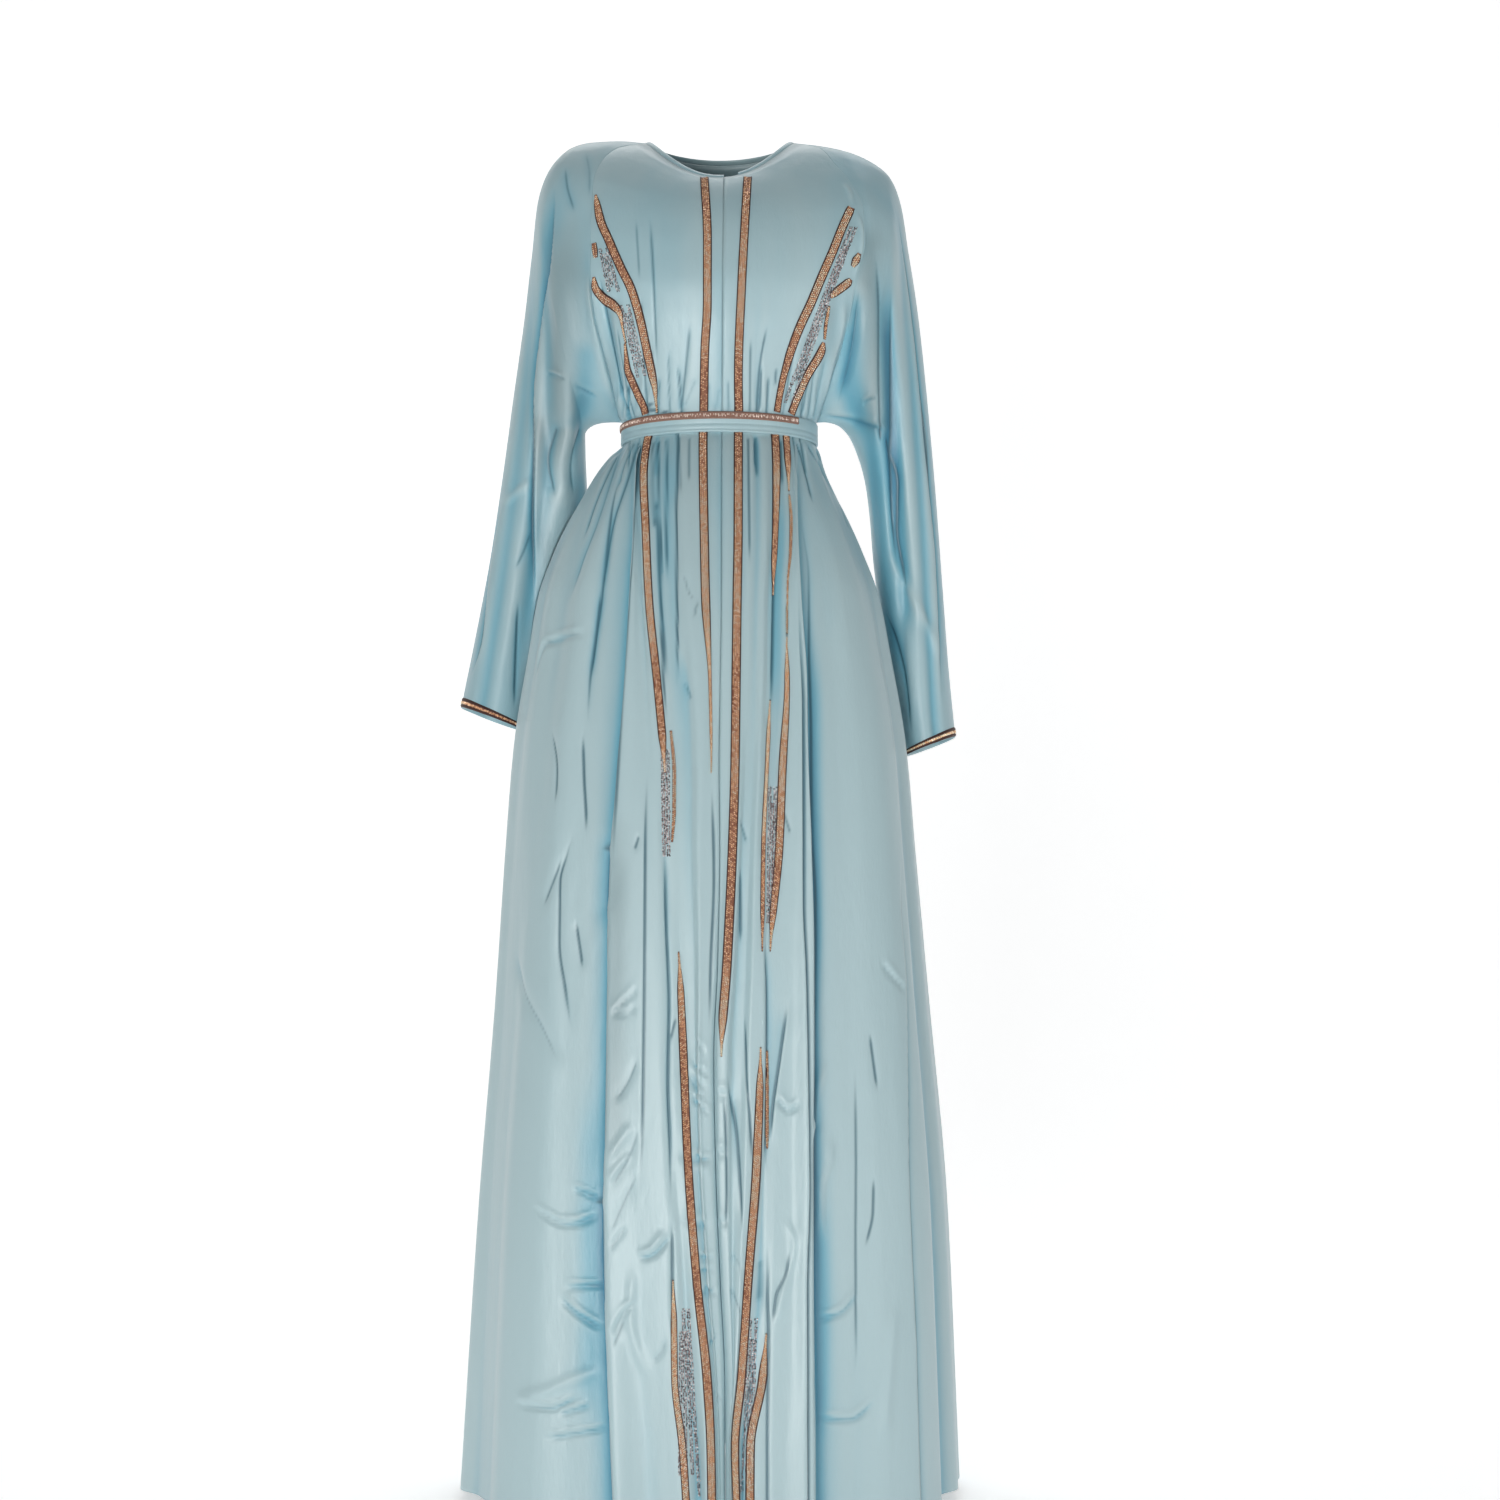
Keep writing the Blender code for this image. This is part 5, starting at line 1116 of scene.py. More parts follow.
def seam_loop(side):
    """The edge that a sleeve is sewn to, with the turn round the oval at each of its points."""
    middle, arm = sleeve_section(side, 0.0)[:2]
    loops = []
    turns = []
    for face in (FRONT, BACK):
        drops = np.linspace(NECK_DROP if face == FRONT else BACK_NECK_DROP, UNDERARM_DROP, 240)
        if face == FRONT:
            edge = [front_row(side, drop, np.array([0.0, FRONT_POINTS - 1.0]))[0][-1] for drop in drops]
        else:
            end = 0 if side == RIGHT else -1
            edge = [back_row(drop, np.array([0.0, BACK_POINTS - 1.0]))[0][end] for drop in drops]
        edge = np.array(edge)
        turn = np.arccos(np.clip((edge[:, 2] - middle[2]) / arm[2], -1, 1))
        even = np.linspace(turn[0], turn[-1], SLEEVE_HALF)
        loops.append(np.stack([np.interp(even, turn, edge[:, axis]) for axis in range(3)], axis=1))
        turns.append(even)
    over = np.linspace(0, 1, SLEEVE_TOP + 2)[1:-1, None]
    top = loops[1][0] + (loops[0][0] - loops[1][0]) * over
    loop = np.concatenate([loops[0], loops[1][-2::-1], top])
    top_turns = (-turns[1][0] + (turns[0][0] + turns[1][0]) * over)[:, 0]
    turned = np.concatenate([turns[0], -turns[1][-2::-1], top_turns])
    return loop, turned


def sleeve_outs(side, along, turns):
    """How far the folds move each point of a ring, in metres: troughs, so inwards."""
    degrees = np.degrees(turns) % 360
    total = np.zeros(len(turns))
    for i in range(len(SLEEVE_FOLDS[side]["depth"])):
        fold = {name: values[i] for name, values in SLEEVE_FOLDS[side].items()}
        share = (along - fold["start"]) / (fold["end"] - fold["start"])
        if not 0 < share < 1:
            continue
        centre = fold["turn_start"] + (fold["turn_end"] - fold["turn_start"]) * share
        off = (degrees - centre + 180) % 360 - 180
        ends = ease(share, 0, CREASE_FADE) * (1 - ease(share, 1 - CREASE_FADE, 1.0))
        total -= fold["depth"] / 1000 * ends * np.exp(-(off / fold["width"]) ** 2)
    return total


def clear_of_skirt(side, points):
    """Ring points kept outside the skirt, as a sleeve is that hangs against the hip."""
    for face in (FRONT, BACK):
        form = FORM[face]
        half = curve(form["drop_mid"], form["right" if side == RIGHT else "left"], -points[:, 2])
        depth = curve(form["drop_mid"], form["depth_mid"], -points[:, 2])
        share = np.hypot(points[:, 0] / half, points[:, 1] / depth)
        grown = np.maximum(1.0, (1 + SLEEVE_CLEARANCE / half) / np.maximum(share, 1e-6))
        here = (points[:, 1] * face >= 0) & (-points[:, 2] > BELT_TOP + BELT_HEIGHT)
        points[here, :2] *= grown[here, None]
    return points


def sleeve_rows(side):
    """The rings of a sleeve, from the seam's loop to the cuff."""
    loop, turns = seam_loop(side)
    bow = loop - sleeve_oval(side, 0.0, turns)
    rows = [(loop, np.zeros(len(loop)))]
    for along in np.linspace(0, 1, SLEEVE_RING_COUNT)[1:]:
        oval = sleeve_oval(side, along, turns)
        middle, arm, front, rear = sleeve_section(side, along)
        out = np.cos(turns)[:, None] * arm / np.dot(arm, arm)
        out = out + np.sin(turns)[:, None] * front / np.dot(front, front)
        out = out / np.linalg.norm(out, axis=1, keepdims=True)
        folds = sleeve_outs(side, along, turns)
        fade = max(0.0, 1 - along / RAGLAN_BOW_ENDS) ** 2
        rows.append((clear_of_skirt(side, oval + bow * fade + out * folds[:, None]), folds))
    return rows


UNDERARM_DROP = 0.3275
sleeves = {}
for side, name in ((RIGHT, "sleeve_right"), (LEFT, "sleeve_left")):
    sleeves[side] = Cloth(sleeve_rows(side), ring=True, turned=side == RIGHT, seams=("top",))
    sleeves[side].press(SLEEVE_CREASES[side])
    sleeves[side].press(SLEEVE_BACK_CREASES[side], FROM_BACK)
    panel = sleeves[side].sew(name + "_satin", satin, "pale_blue_satin", ("top", "bottom"), SLEEVE_SHADE)
    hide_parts(name)
    "front_" + name[7:]


# The binding of the neckline
# A narrow bias strip of the satin, folded over the neckline's raw edge and stitched; it is open at
# the front, where the two fronts meet.
BINDING_WIDTH = 0.007
BINDING_CLOTH = 0.0024
BINDING_ROUND = 14
BINDING_OPEN = 0.25       # half the gap between its two edges, as an angle round the fold


def fold_over(points, along_up, along_out, half_up, half_out):
    """A strip folded over an edge: at each point its two directions and half its size along them."""
    turns = np.linspace(BINDING_OPEN - pi, pi - BINDING_OPEN, BINDING_ROUND)
    rings = (points[:, None] + along_up[:, None] * np.cos(turns)[None, :, None] * half_up
             + along_out[:, None] * np.sin(turns)[None, :, None] * half_out)
    count = len(points)
    index = np.arange(count * BINDING_ROUND).reshape(count, BINDING_ROUND)
    faces = np.stack([index[:-1, :-1], index[1:, :-1], index[1:, 1:], index[:-1, 1:]], axis=2).reshape(-1, 4)
    return rings.reshape(-1, 3), faces


def neckline():
    """Points along the neck edge, the directions out of the cloth there and up along it."""
    parts = []
    for cloth, part in ((fronts[RIGHT], np.s_[::4]), (sleeves[RIGHT], np.s_[:-SLEEVE_TOP - 1:-1]),
                        (back, np.s_[::4]), (sleeves[LEFT], np.s_[-SLEEVE_TOP:]),
                        (fronts[LEFT], np.s_[::-4])):
        up = cloth.points[0] - cloth.points[2]
        parts.append((cloth.points[0][part], cloth.normals()[0][part], up[part]))
    points, normals, ups = (np.concatenate(group) for group in zip(*parts))
    return points, normals, ups


def levelled(values, times):
    """A list of directions or points, evened out along its length."""
    for _ in range(times):
        values[1:-1] = (values[:-2] + 2 * values[1:-1] + values[2:]) / 4
    return values


def unit(values):
    """Directions brought to length 1."""
    return values / np.linalg.norm(values, axis=-1, keepdims=True)


points, normals, ups = neckline()
ups = levelled(unit(ups), 6)
normals = unit(levelled(normals, 6))
middle = points + unit(ups) * (BINDING_WIDTH / 2 + SEAM) - normals * SATIN_CLOTH / 2
vertices, faces = fold_over(middle, unit(ups), normals, BINDING_WIDTH / 2, BINDING_CLOTH / 2)
binding = make_piece("neck_binding_satin", vertices, faces, satin, "pale_blue_satin",
                     hollow=np.zeros(len(vertices)), line=np.zeros(len(vertices)),
                     shadow=np.zeros(len(vertices)))
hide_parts("neck_binding")


# The belt
# A narrow band of the satin, folded double and pulled in at the waist over the gathers, with a
# plain end wrapped over on the wearer's left. A beaded braid is stitched along its upper edge.
BELT_LIFT = 0.0014
BELT_CLOTH = 0.0018
BELT_BEADED = 0.0088
BELT_BRAID_END = 0.090
BELT_TUCK = 0.0006        # how far its folded edges lie under its face
WAIST_POINTS = 90         # points round each quarter of the waist
BELT_PROFILE = ((0.0, 0.1), (0.012, 0.75), (0.05, 1.0), (0.30, 0.92), (0.55, 1.0), (0.60, 0.72), (0.64, 1.02),
                (0.80, 1.05), (0.85, 0.74), (0.89, 1.08), (0.93, 1.15), (0.975, 0.95), (1.0, 0.1))


def waist_ring(count):
    """Plain rings round the waist at the belt's two edges, with the directions out of them."""
    rings = []
    for drop in (BELT_TOP, BELT_TOP + BELT_HEIGHT):
        quarter = np.linspace(0, 1, count)
        parts = []
        for side, face, order in ((RIGHT, FRONT, 1), (RIGHT, BACK, -1), (LEFT, BACK, 1), (LEFT, FRONT, -1)):
            points, out = half_section(side, face, drop, quarter)[:2]
            parts.append((points[::order][:-1], out[::order][:-1]))
        rings.append([np.concatenate(group) for group in zip(*parts)])
    return rings


(top_ring, top_out), (foot_ring, foot_out) = waist_ring(WAIST_POINTS)
rows = [top_ring + top_out * (BELT_LIFT - BELT_TUCK)]
for share, proud in BELT_PROFILE:
    out = top_out + (foot_out - top_out) * share
    rows.append(top_ring + (foot_ring - top_ring) * share + out * (BELT_LIFT + BELT_CLOTH * proud))
rows.append(foot_ring + foot_out * (BELT_LIFT - BELT_TUCK))
belt = Cloth([(row, np.zeros(len(row))) for row in rows], ring=True)
panel = belt.sew("belt_satin", satin, "pale_blue_satin", ())
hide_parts("belt")


# The braids
# Ready-made trim, about 10 mm wide: a dark twisted cord along each edge and small copper and gold
# beads sewn on slantwise between them. It is stitched on flat, over the gathers and into the folds.
BEAD_PITCH = 0.00225      # from one slanting row of beads to the next
BEAD_COLUMNS = 4
BEAD_SLANT = radians(35)
BEAD_SIZE = (0.00115, 0.00078, 0.00085)   # half its length and width, and its height
BEAD_LIFT = 0.0004
BEAD_INSET = 0.14         # how far inside the cords the outer beads lie, as a share of half the width
BEAD_STRAY = 0.00016      # how unevenly they are sewn: along the braid in metres,
BEAD_SIDEWAYS = 0.03      # across it as such a share,
BEAD_TURN = 0.12          # turned, in radians,
BEAD_LEAN = 0.16          # and leaning
RIBBON_STEP = 0.0022
RIBBON_PROFILE = ((-1.0, -0.0006), (-0.985, 0.0003), (-0.86, 0.0009), (-0.73, 0.0004), (-0.70, 0.0002),
                  (0.0, 0.0003), (0.70, 0.0002), (0.73, 0.0004), (0.86, 0.0009), (0.985, 0.0003),
                  (1.0, -0.0006))
RIBBON_SHARES, RIBBON_HEIGHTS = np.array(RIBBON_PROFILE).T
RIBBON_MIDDLE = len(RIBBON_PROFILE) // 2
RIBBON_LIFT = 0.0005
RIBBON_LEVELLED = 4       # times that its surface is evened out
CORD_EDGE = 0.72          # the cords start this far out, as a share of half the width
BELT_GAP = (0.3325, 0.3545)   # no beads here, under the belt

braid_ground = Finish("braid_ground", Metallic=0.0, Specular_IOR_Level=0.4)
on_cord = braid_ground.trait("cord")
thread = braid_ground.noise((1500.0, 1500.0, 1500.0), 2.0)
ground_colour = braid_ground.mix(on_cord, (0.260, 0.115, 0.070, 1.0), (0.060, 0.024, 0.019, 1.0))
braid_ground.show(Base_Color=ground_colour, Roughness=0.5 + thread * 0.2,
                  Normal=braid_ground.bump(thread, 0.0004, 0.6))
braid_beads = Finish("braid_beads", Metallic=0.15, Specular_IOR_Level=0.9)
# Partly the beads' own copper and gold, varied at random, partly painted glints: patches along the braid
# painted brighter, and the palest beads a painted highlight.
glint = braid_beads.within(braid_beads.noise((16.0, 16.0, 7.0), 2.0), 0.36, 0.64)
tone = braid_beads.trait("tone") * 0.65 + glint * 0.45 - 0.02
bead_colour_and_glints = braid_beads.mix(braid_beads.within(tone, 0.52, 0.84),
                       braid_beads.mix(braid_beads.within(tone, 0.05, 0.40), (0.36, 0.150, 0.090, 1.0),
                                       (1.0, 0.60, 0.34, 1.0)), (1.0, 0.94, 0.72, 1.0))
braid_beads.show(Base_Color=bead_colour_and_glints, Roughness=0.22 + tone * 0.10)
rng = np.random.default_rng(8840)


def ribbon_grid(tree, path, halves, facing=FROM_FRONT, step=RIBBON_STEP):
    """Points along a path on the cloth and across a braid there, evened out as a stiff trim lies."""
    path = np.array(path, dtype=float)
    lengths = distances(path)
    steps = np.linspace(0, lengths[-1], max(4, int(lengths[-1] / step)) + 1)
    middle = np.stack([curve(lengths, path[:, axis], steps) for axis in (0, 1)], axis=1)
    half = curve(lengths, np.array(halves, dtype=float) * np.ones(len(path)), steps)
    run = unit(np.gradient(middle, axis=0))
    across = np.stack([-run[:, 1], run[:, 0]], axis=1)
    spots = middle[:, None] + across[:, None] * (half[:, None] * RIBBON_SHARES)[..., None]
    depth = np.empty(spots.shape[:2])
    for i in range(len(spots)):
        for j, (x, drop) in enumerate(spots[i]):
            hit = strike(tree, x, drop, facing)[0]
            depth[i, j] = np.nan if hit is None else hit.y
    good = ~np.isnan(depth)
    for j in range(depth.shape[1]):
        if good[:, j].any():
            depth[:, j] = np.interp(steps, steps[good[:, j]], depth[good[:, j], j])
    depth[:, :] = np.where(np.isnan(depth), np.nanmean(depth, axis=1, keepdims=True), depth)
    plain = depth.copy()
    for _ in range(RIBBON_LEVELLED):
        depth[1:-1] = (depth[:-2] + 2 * depth[1:-1] + depth[2:]) / 4
        depth[:, 1:-1] = (depth[:, :-2] + 2 * depth[:, 1:-1] + depth[:, 2:]) / 4
    forward = facing.y
    depth = np.where(forward > 0, np.minimum(depth, plain), np.maximum(depth, plain))
    points = np.stack([spots[..., 0], depth, -spots[..., 1]], axis=2)
    across3 = np.gradient(points, axis=1)
    out = unit(np.cross(across3, np.gradient(points, axis=0)))
    out *= np.sign((out @ np.array(facing))[..., None]) * -1
    return points, out, steps, half


def ribbon_mesh(points, out, flipped):
    """The ground of a braid with its two cords, and where the cords are."""
    grid = points + out * (RIBBON_LIFT + RIBBON_HEIGHTS)[None, :, None]
    index = np.arange(grid.shape[0] * grid.shape[1]).reshape(grid.shape[:2])
    faces = np.stack([index[:-1, :-1], index[:-1, 1:], index[1:, 1:], index[1:, :-1]], axis=2).reshape(-1, 4)
    cord = (np.abs(RIBBON_SHARES) > CORD_EDGE).astype(float)
    return grid.reshape(-1, 3), faces[:, ::-1] if flipped else faces, np.tile(cord, len(points))


def bead_mesh(spots, runs, outs, size):
    """Small pointed beads: where each lies, the way it points and the way up out of the cloth."""
    length, width, height = size
    sides = np.cross(outs, runs)
    corners = np.stack([spots + runs * length, spots + sides * width, spots - runs * length,
                        spots - sides * width, spots + outs * height, spots - outs * height * 0.5], axis=1)
    one = np.array([(0, 1, 4), (1, 2, 4), (2, 3, 4), (3, 0, 4), (1, 0, 5), (2, 1, 5), (3, 2, 5), (0, 3, 5)])
    faces = (one[None] + 6 * np.arange(len(spots))[:, None, None]).reshape(-1, 3)
    return corners.reshape(-1, 3), faces


def bead_rows(points, out, steps, pitch, columns, slant, covered=()):
    """Places and directions of beads in slanting rows between the cords."""
    spots, runs, outs = [], [], []
    inner = CORD_EDGE - BEAD_INSET
    for at in np.arange(pitch, steps[-1] - pitch / 2, pitch):
        for column in range(columns):
            u = -inner + 2 * inner * column / max(1, columns - 1)
            i = int(np.searchsorted(steps, at))
            width = np.linalg.norm(points[min(i, len(points) - 1), -1] - points[min(i, len(points) - 1), 0])
            here = at + u * width / 2 * np.tan(slant) + rng.normal(0, BEAD_STRAY)
            if not 0 < here < steps[-1]:
                continue
            i = min(max(int(np.searchsorted(steps, here)) - 1, 0), len(steps) - 2)
            t = (here - steps[i]) / (steps[i + 1] - steps[i])
            u = u + rng.normal(0, BEAD_SIDEWAYS)
            j = min(int(np.searchsorted(RIBBON_SHARES, u)) - 1, len(RIBBON_SHARES) - 2)
            s = (u - RIBBON_SHARES[j]) / (RIBBON_SHARES[j + 1] - RIBBON_SHARES[j])
            near = points[i, j] * (1 - s) + points[i, j + 1] * s
            far = points[i + 1, j] * (1 - s) + points[i + 1, j + 1] * s
            spot = near * (1 - t) + far * t
            if covered and covered[0] < -spot[2] < covered[1]:
                continue
            up = out[i, j]
            cross_way = unit(points[i, j + 1] - points[i, j])
            along_way = unit(points[i + 1, j] - points[i, j])
            angle = slant + rng.normal(0, BEAD_TURN)
            run = cross_way * np.cos(angle) + along_way * np.sin(angle)
            spots.append(spot + up * (RIBBON_LIFT + BEAD_LIFT))
            runs.append(unit(run - up * (run @ up)))
            outs.append(unit(up + rng.normal(0, BEAD_LEAN, 3)))
    return np.array(spots), np.array(runs), np.array(outs)


def make_braid(name, tree, path, halves, slant, columns=BEAD_COLUMNS, node=True):
    """A braid laid on the cloth along a path of x and drop."""
    points, out, steps, half = ribbon_grid(tree, path, halves)
    return lay_braid(name, points, out, steps, slant, BELT_GAP, columns, BEAD_PITCH, BEAD_SIZE, node)


def lay_braid(name, points, out, steps, slant, covered, columns, pitch, size, node=True):
    """The braid as one mesh: its ground with the two cords, and its beads."""
    vertices, faces, cord = ribbon_mesh(points, out, False)
    face = faces[(len(RIBBON_PROFILE) - 1) * (len(points) // 2) + RIBBON_MIDDLE]
    normal = np.cross(vertices[face[1]] - vertices[face[0]], vertices[face[2]] - vertices[face[0]])
    if normal @ out[len(points) // 2, RIBBON_MIDDLE] < 0:
        faces = faces[:, ::-1]
    beads, bead_faces = bead_mesh(*bead_rows(points, out, steps, pitch, columns, slant, covered), size)
    tones = np.repeat(rng.random(len(beads) // 6), 6)
    everything = faces.tolist() + (bead_faces + len(vertices)).tolist()
    piece = make_piece(name + "_beaded", np.concatenate([vertices, beads]),
                       np.array(everything, dtype=object), braid_ground, "copper_braid", smooth=False,
                       cord=np.concatenate([cord, np.zeros(len(beads))]),
                       tone=np.concatenate([np.zeros(len(vertices)), tones]))
    piece.data.materials.append(braid_beads.material)
    slots = np.zeros(len(everything), dtype=np.int32)
    slots[len(faces):] = 1
    piece.data.polygons.foreach_set("material_index", slots)
    rounded = np.ones(len(everything), dtype=bool)
    rounded[len(faces):] = False
    piece.data.polygons.foreach_set("use_smooth", rounded)
    if node:
        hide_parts(name)
    return piece


front_trees = {side: fronts[side].tree() for side in (RIGHT, LEFT)}
# Braids along a line of LINES: which one, and the drops they run between.
LINE_BRAIDS = {
    "centre_braid_right": (RIGHT, "a", 0.062, 0.740),
    "centre_braid_left": (LEFT, "a", 0.062, 1.040),
    "skirt_braid_right_upper": (RIGHT, "b", 0.350, 0.740),
    "skirt_braid_right_lower": (RIGHT, "b", 0.930, LENGTH - 0.001),
    "skirt_braid_right_outer": (RIGHT, "c", 1.270, LENGTH - 0.001),
    "skirt_braid_left_upper": (LEFT, "b", 0.350, 0.545),
    "skirt_braid_left_middle": (LEFT, "b", 0.660, 0.930),
    "skirt_braid_left_lower": (LEFT, "b", 1.030, LENGTH - 0.001),
    "skirt_braid_left_outer_upper": (LEFT, "c", 0.350, 0.424),
    "skirt_braid_left_outer": (LEFT, "c", 0.590, 0.930),
    "skirt_braid_left_outer_lower": (LEFT, "c", 1.325, LENGTH - 0.001),
}
BRAID_END = 0.045         # length over which a braid narrows where a fold swallows it
BRAID_POINT = 0.15        # share of its width that is left at its end there
for name, (side, line, top, bottom) in LINE_BRAIDS.items():
    drops = np.linspace(top, bottom, max(8, int((bottom - top) / 0.01)))
    lines = LINES[side]
    middles = side * curve(lines["drop"], lines[line], drops)
    halves = curve(lines["drop"], lines[line + "_half"], drops)
    if line == "a":
        above = BODICE_BRAID[side]
        upper = side * curve(above["drop"], above["middle"], drops)
        middles = np.where(drops < BELT_TOP, upper, middles)
        halves = np.where(drops < BELT_TOP, BRAID_WIDTH / 2, halves)
    if top > 0.36:
        halves = halves * (BRAID_POINT + (1 - BRAID_POINT) * ease(drops, top, top + BRAID_END))
    if bottom < LENGTH - 0.01:
        halves = halves * (1 - (1 - BRAID_POINT) * ease(drops, bottom - BRAID_END, bottom))
    make_braid(name, front_trees[side], np.stack([middles, drops], axis=1), halves, BEAD_SLANT * -side)

# Braids that slant across the bodice: points of the middle line as distance from the middle and
# drop, and half the width there, in millimetres. They taper where a fold swallows them.
BODICE_BRAIDS = {
    "bodice_braid_right_long": (RIGHT, (
        (138, 84, 1.0), (136, 96, 3.6), (132, 116, 4.9), (122, 141, 4.9), (109, 172, 4.9), (96, 200, 4.9),
        (87, 230, 4.9), (80, 262, 4.9), (74, 289, 4.6), (71, 304, 3.0), (70, 317, 1.5), (69, 329, 1.0))),
    "bodice_braid_right_middle": (RIGHT, (
        (139, 180, 1.2), (138, 190, 4.0), (129, 203, 4.9), (117, 213, 4.9), (109, 224, 3.0), (106, 240, 1.0),
        (103, 254, 0.8))),
    "bodice_braid_right_low": (RIGHT, (
        (104, 254, 1.0), (103, 268, 2.4), (102, 280, 3.6), (97, 293, 4.0), (90, 309, 4.0), (84, 322, 4.0),
        (82, 329, 4.0))),
    "bodice_braid_left_long": (LEFT, (
        (148, 101, 4.2), (146, 106, 4.9), (137, 128, 4.9), (128, 152, 4.9), (115, 183, 4.9), (103, 212, 4.9),
        (90, 240, 4.9), (80, 266, 4.6), (73, 289, 3.8), (68, 311, 3.6), (65, 329, 3.6))),
    "bodice_braid_left_top": (LEFT, (
        (157, 154, 2.0), (153, 162, 4.4), (149, 169, 2.0))),
    "bodice_braid_left_middle": (LEFT, (
        (147, 183, 2.0), (144, 187, 4.4), (136, 194, 4.4), (127, 202, 3.4), (124, 205, 1.4))),
    "bodice_braid_left_thin": (LEFT, (
        (123, 214, 0.8), (121, 224, 1.8), (119, 236, 1.8), (118, 249, 1.0))),
    "bodice_braid_left_low": (LEFT, (
        (117, 252, 1.4), (115, 260, 4.2), (110, 270, 4.6), (101, 284, 4.2), (94, 298, 4.0), (87, 314, 4.0),
        (81, 329, 4.0))),
}
for name, (side, rows) in BODICE_BRAIDS.items():
    across, drops, halves = np.array(rows).T / 1000
    make_braid(name, front_trees[side], np.stack([across * side, drops], axis=1), halves, BEAD_SLANT * -side)

# Slivers of the braids that show between two folds: the same values.
SLIVERS = {
    "skirt_sliver_right": (RIGHT, ((50, 694, 1.2), (46, 740, 2.0), (46, 780, 2.0), (48, 814, 1.0))),
    "skirt_sliver_left": (LEFT, ((78, 428, 0.8), (80, 460, 1.8), (79, 496, 1.6), (76, 530, 0.9),
                                 (75, 588, 0.9))),
    "skirt_sliver_left_low": (LEFT, ((53, 1034, 0.9), (53, 1064, 1.8), (53, 1120, 1.8), (53, 1136, 0.8))),
    "bodice_sliver_right": (RIGHT, ((139, 142, 2.6), (138, 150, 3.2), (137, 159, 2.2))),
}
for name, (side, rows) in SLIVERS.items():
    across, drops, halves = np.array(rows).T / 1000
    make_braid(name, front_trees[side], np.stack([across * side, drops], axis=1), halves, BEAD_SLANT * -side,
               2, node=False)


# The silver beadwork
# Small silver-grey beads fill the angle between two braids. Their layout is a plain one of its
# own: even rows in a few fields, every second row shorter at both ends.
SILVER_PITCH = 0.0016
SILVER_TWIN = 0.0021      # the rows are threaded in pairs, this far apart
SILVER_SIZE = (0.00115, 0.00095, 0.00080)
SILVER_LIFT = 0.0006
SILVER_STRAY = 0.00025    # how unevenly they are sewn: along the row and across it in metres,
SILVER_SIDEWAYS = 0.0003
SILVER_TURN = 0.9         # turned at most so far, in radians,
SILVER_LEAN = 0.2         # and leaning
silver = Finish("silver_beads", Metallic=0.30, Specular_IOR_Level=0.9)
tone = silver.trait("tone")
silver.show(Base_Color=silver.mix(silver.within(tone, 0.62, 0.90),
                                  silver.mix(silver.within(tone, 0.15, 0.40), (0.110, 0.080, 0.085, 1.0),
                                             (0.42, 0.34, 0.34, 1.0)), (0.80, 0.76, 0.76, 1.0)),
            Roughness=0.2 + tone * 0.1)
SILVER_SHORT = 0.12       # share of its length that a short row lacks at each end
# A field is the top and the bottom of its middle line, as distance from the middle and drop, its
# width at each, all in millimetres, and its number of rows.
SILVER_FIELDS = {
    "silver_beadwork_bodice_right": (RIGHT, (((129, 150), (117, 200), 8, 10, 3),
                                             ((105, 215), (87, 290), 8, 8, 3))),
    "silver_beadwork_bodice_left": (LEFT, (((149, 125), (77, 318), 5, 8, 3),)),
    "silver_beadwork_skirt_right": (RIGHT, (((57, 715), (55, 830), 6, 5, 3),
                                            ((34, 1300), (28, 1490), 8, 20, 4))),
    "silver_beadwork_skirt_left": (LEFT, (((58, 755), (55, 900), 6, 5, 3),
                                          ((37, 1310), (30, 1485), 6, 10, 3))),
}


def field_rows(top, bottom, top_width, bottom_width, count):
    """The two ends of each row of a field."""
    sideways = np.array((1.0, 0.0))
    for row in range(count):
        share = row / (count - 1) - 0.5
        first = top + sideways * share * top_width
        last = bottom + sideways * share * bottom_width
        short = (last - first) * SILVER_SHORT * (row % 2)
        yield first + short, last - short


for name, (side, fields) in SILVER_FIELDS.items():
    spots, runs, outs = [], [], []
    for path in [row for field in fields for row in field_rows(*field)]:
        path = np.array(path) / 1000 * (side, 1)
        lengths = distances(path)
        steps = np.arange(0, lengths[-1], SILVER_PITCH)
        steps = steps + rng.normal(0, SILVER_STRAY, len(steps))
        twin = np.repeat((0, SILVER_TWIN), len(steps))
        steps = np.tile(steps, 2)
        for x, drop in zip(curve(lengths, path[:, 0], steps) + twin, curve(lengths, path[:, 1], steps)):
            x += rng.normal(0, SILVER_SIDEWAYS)
            spot, normal = strike(front_trees[side], x, drop, FROM_FRONT)
            if spot is None:
                continue
            up = np.array(normal) * -np.sign(normal.y)
            turn = rng.uniform(-SILVER_TURN, SILVER_TURN)
            way = np.array((sin(turn), 0, cos(turn)))
            spots.append(np.array(spot) + up * SILVER_LIFT)
            runs.append(unit(way - up * (way @ up)))
            outs.append(unit(up + rng.normal(0, SILVER_LEAN, 3)))
    beads, faces = bead_mesh(np.array(spots), np.array(runs), np.array(outs), SILVER_SIZE)
    make_piece(name, beads, faces, silver, "copper_braid", smooth=False,
               tone=np.repeat(rng.random(len(spots)), 6))



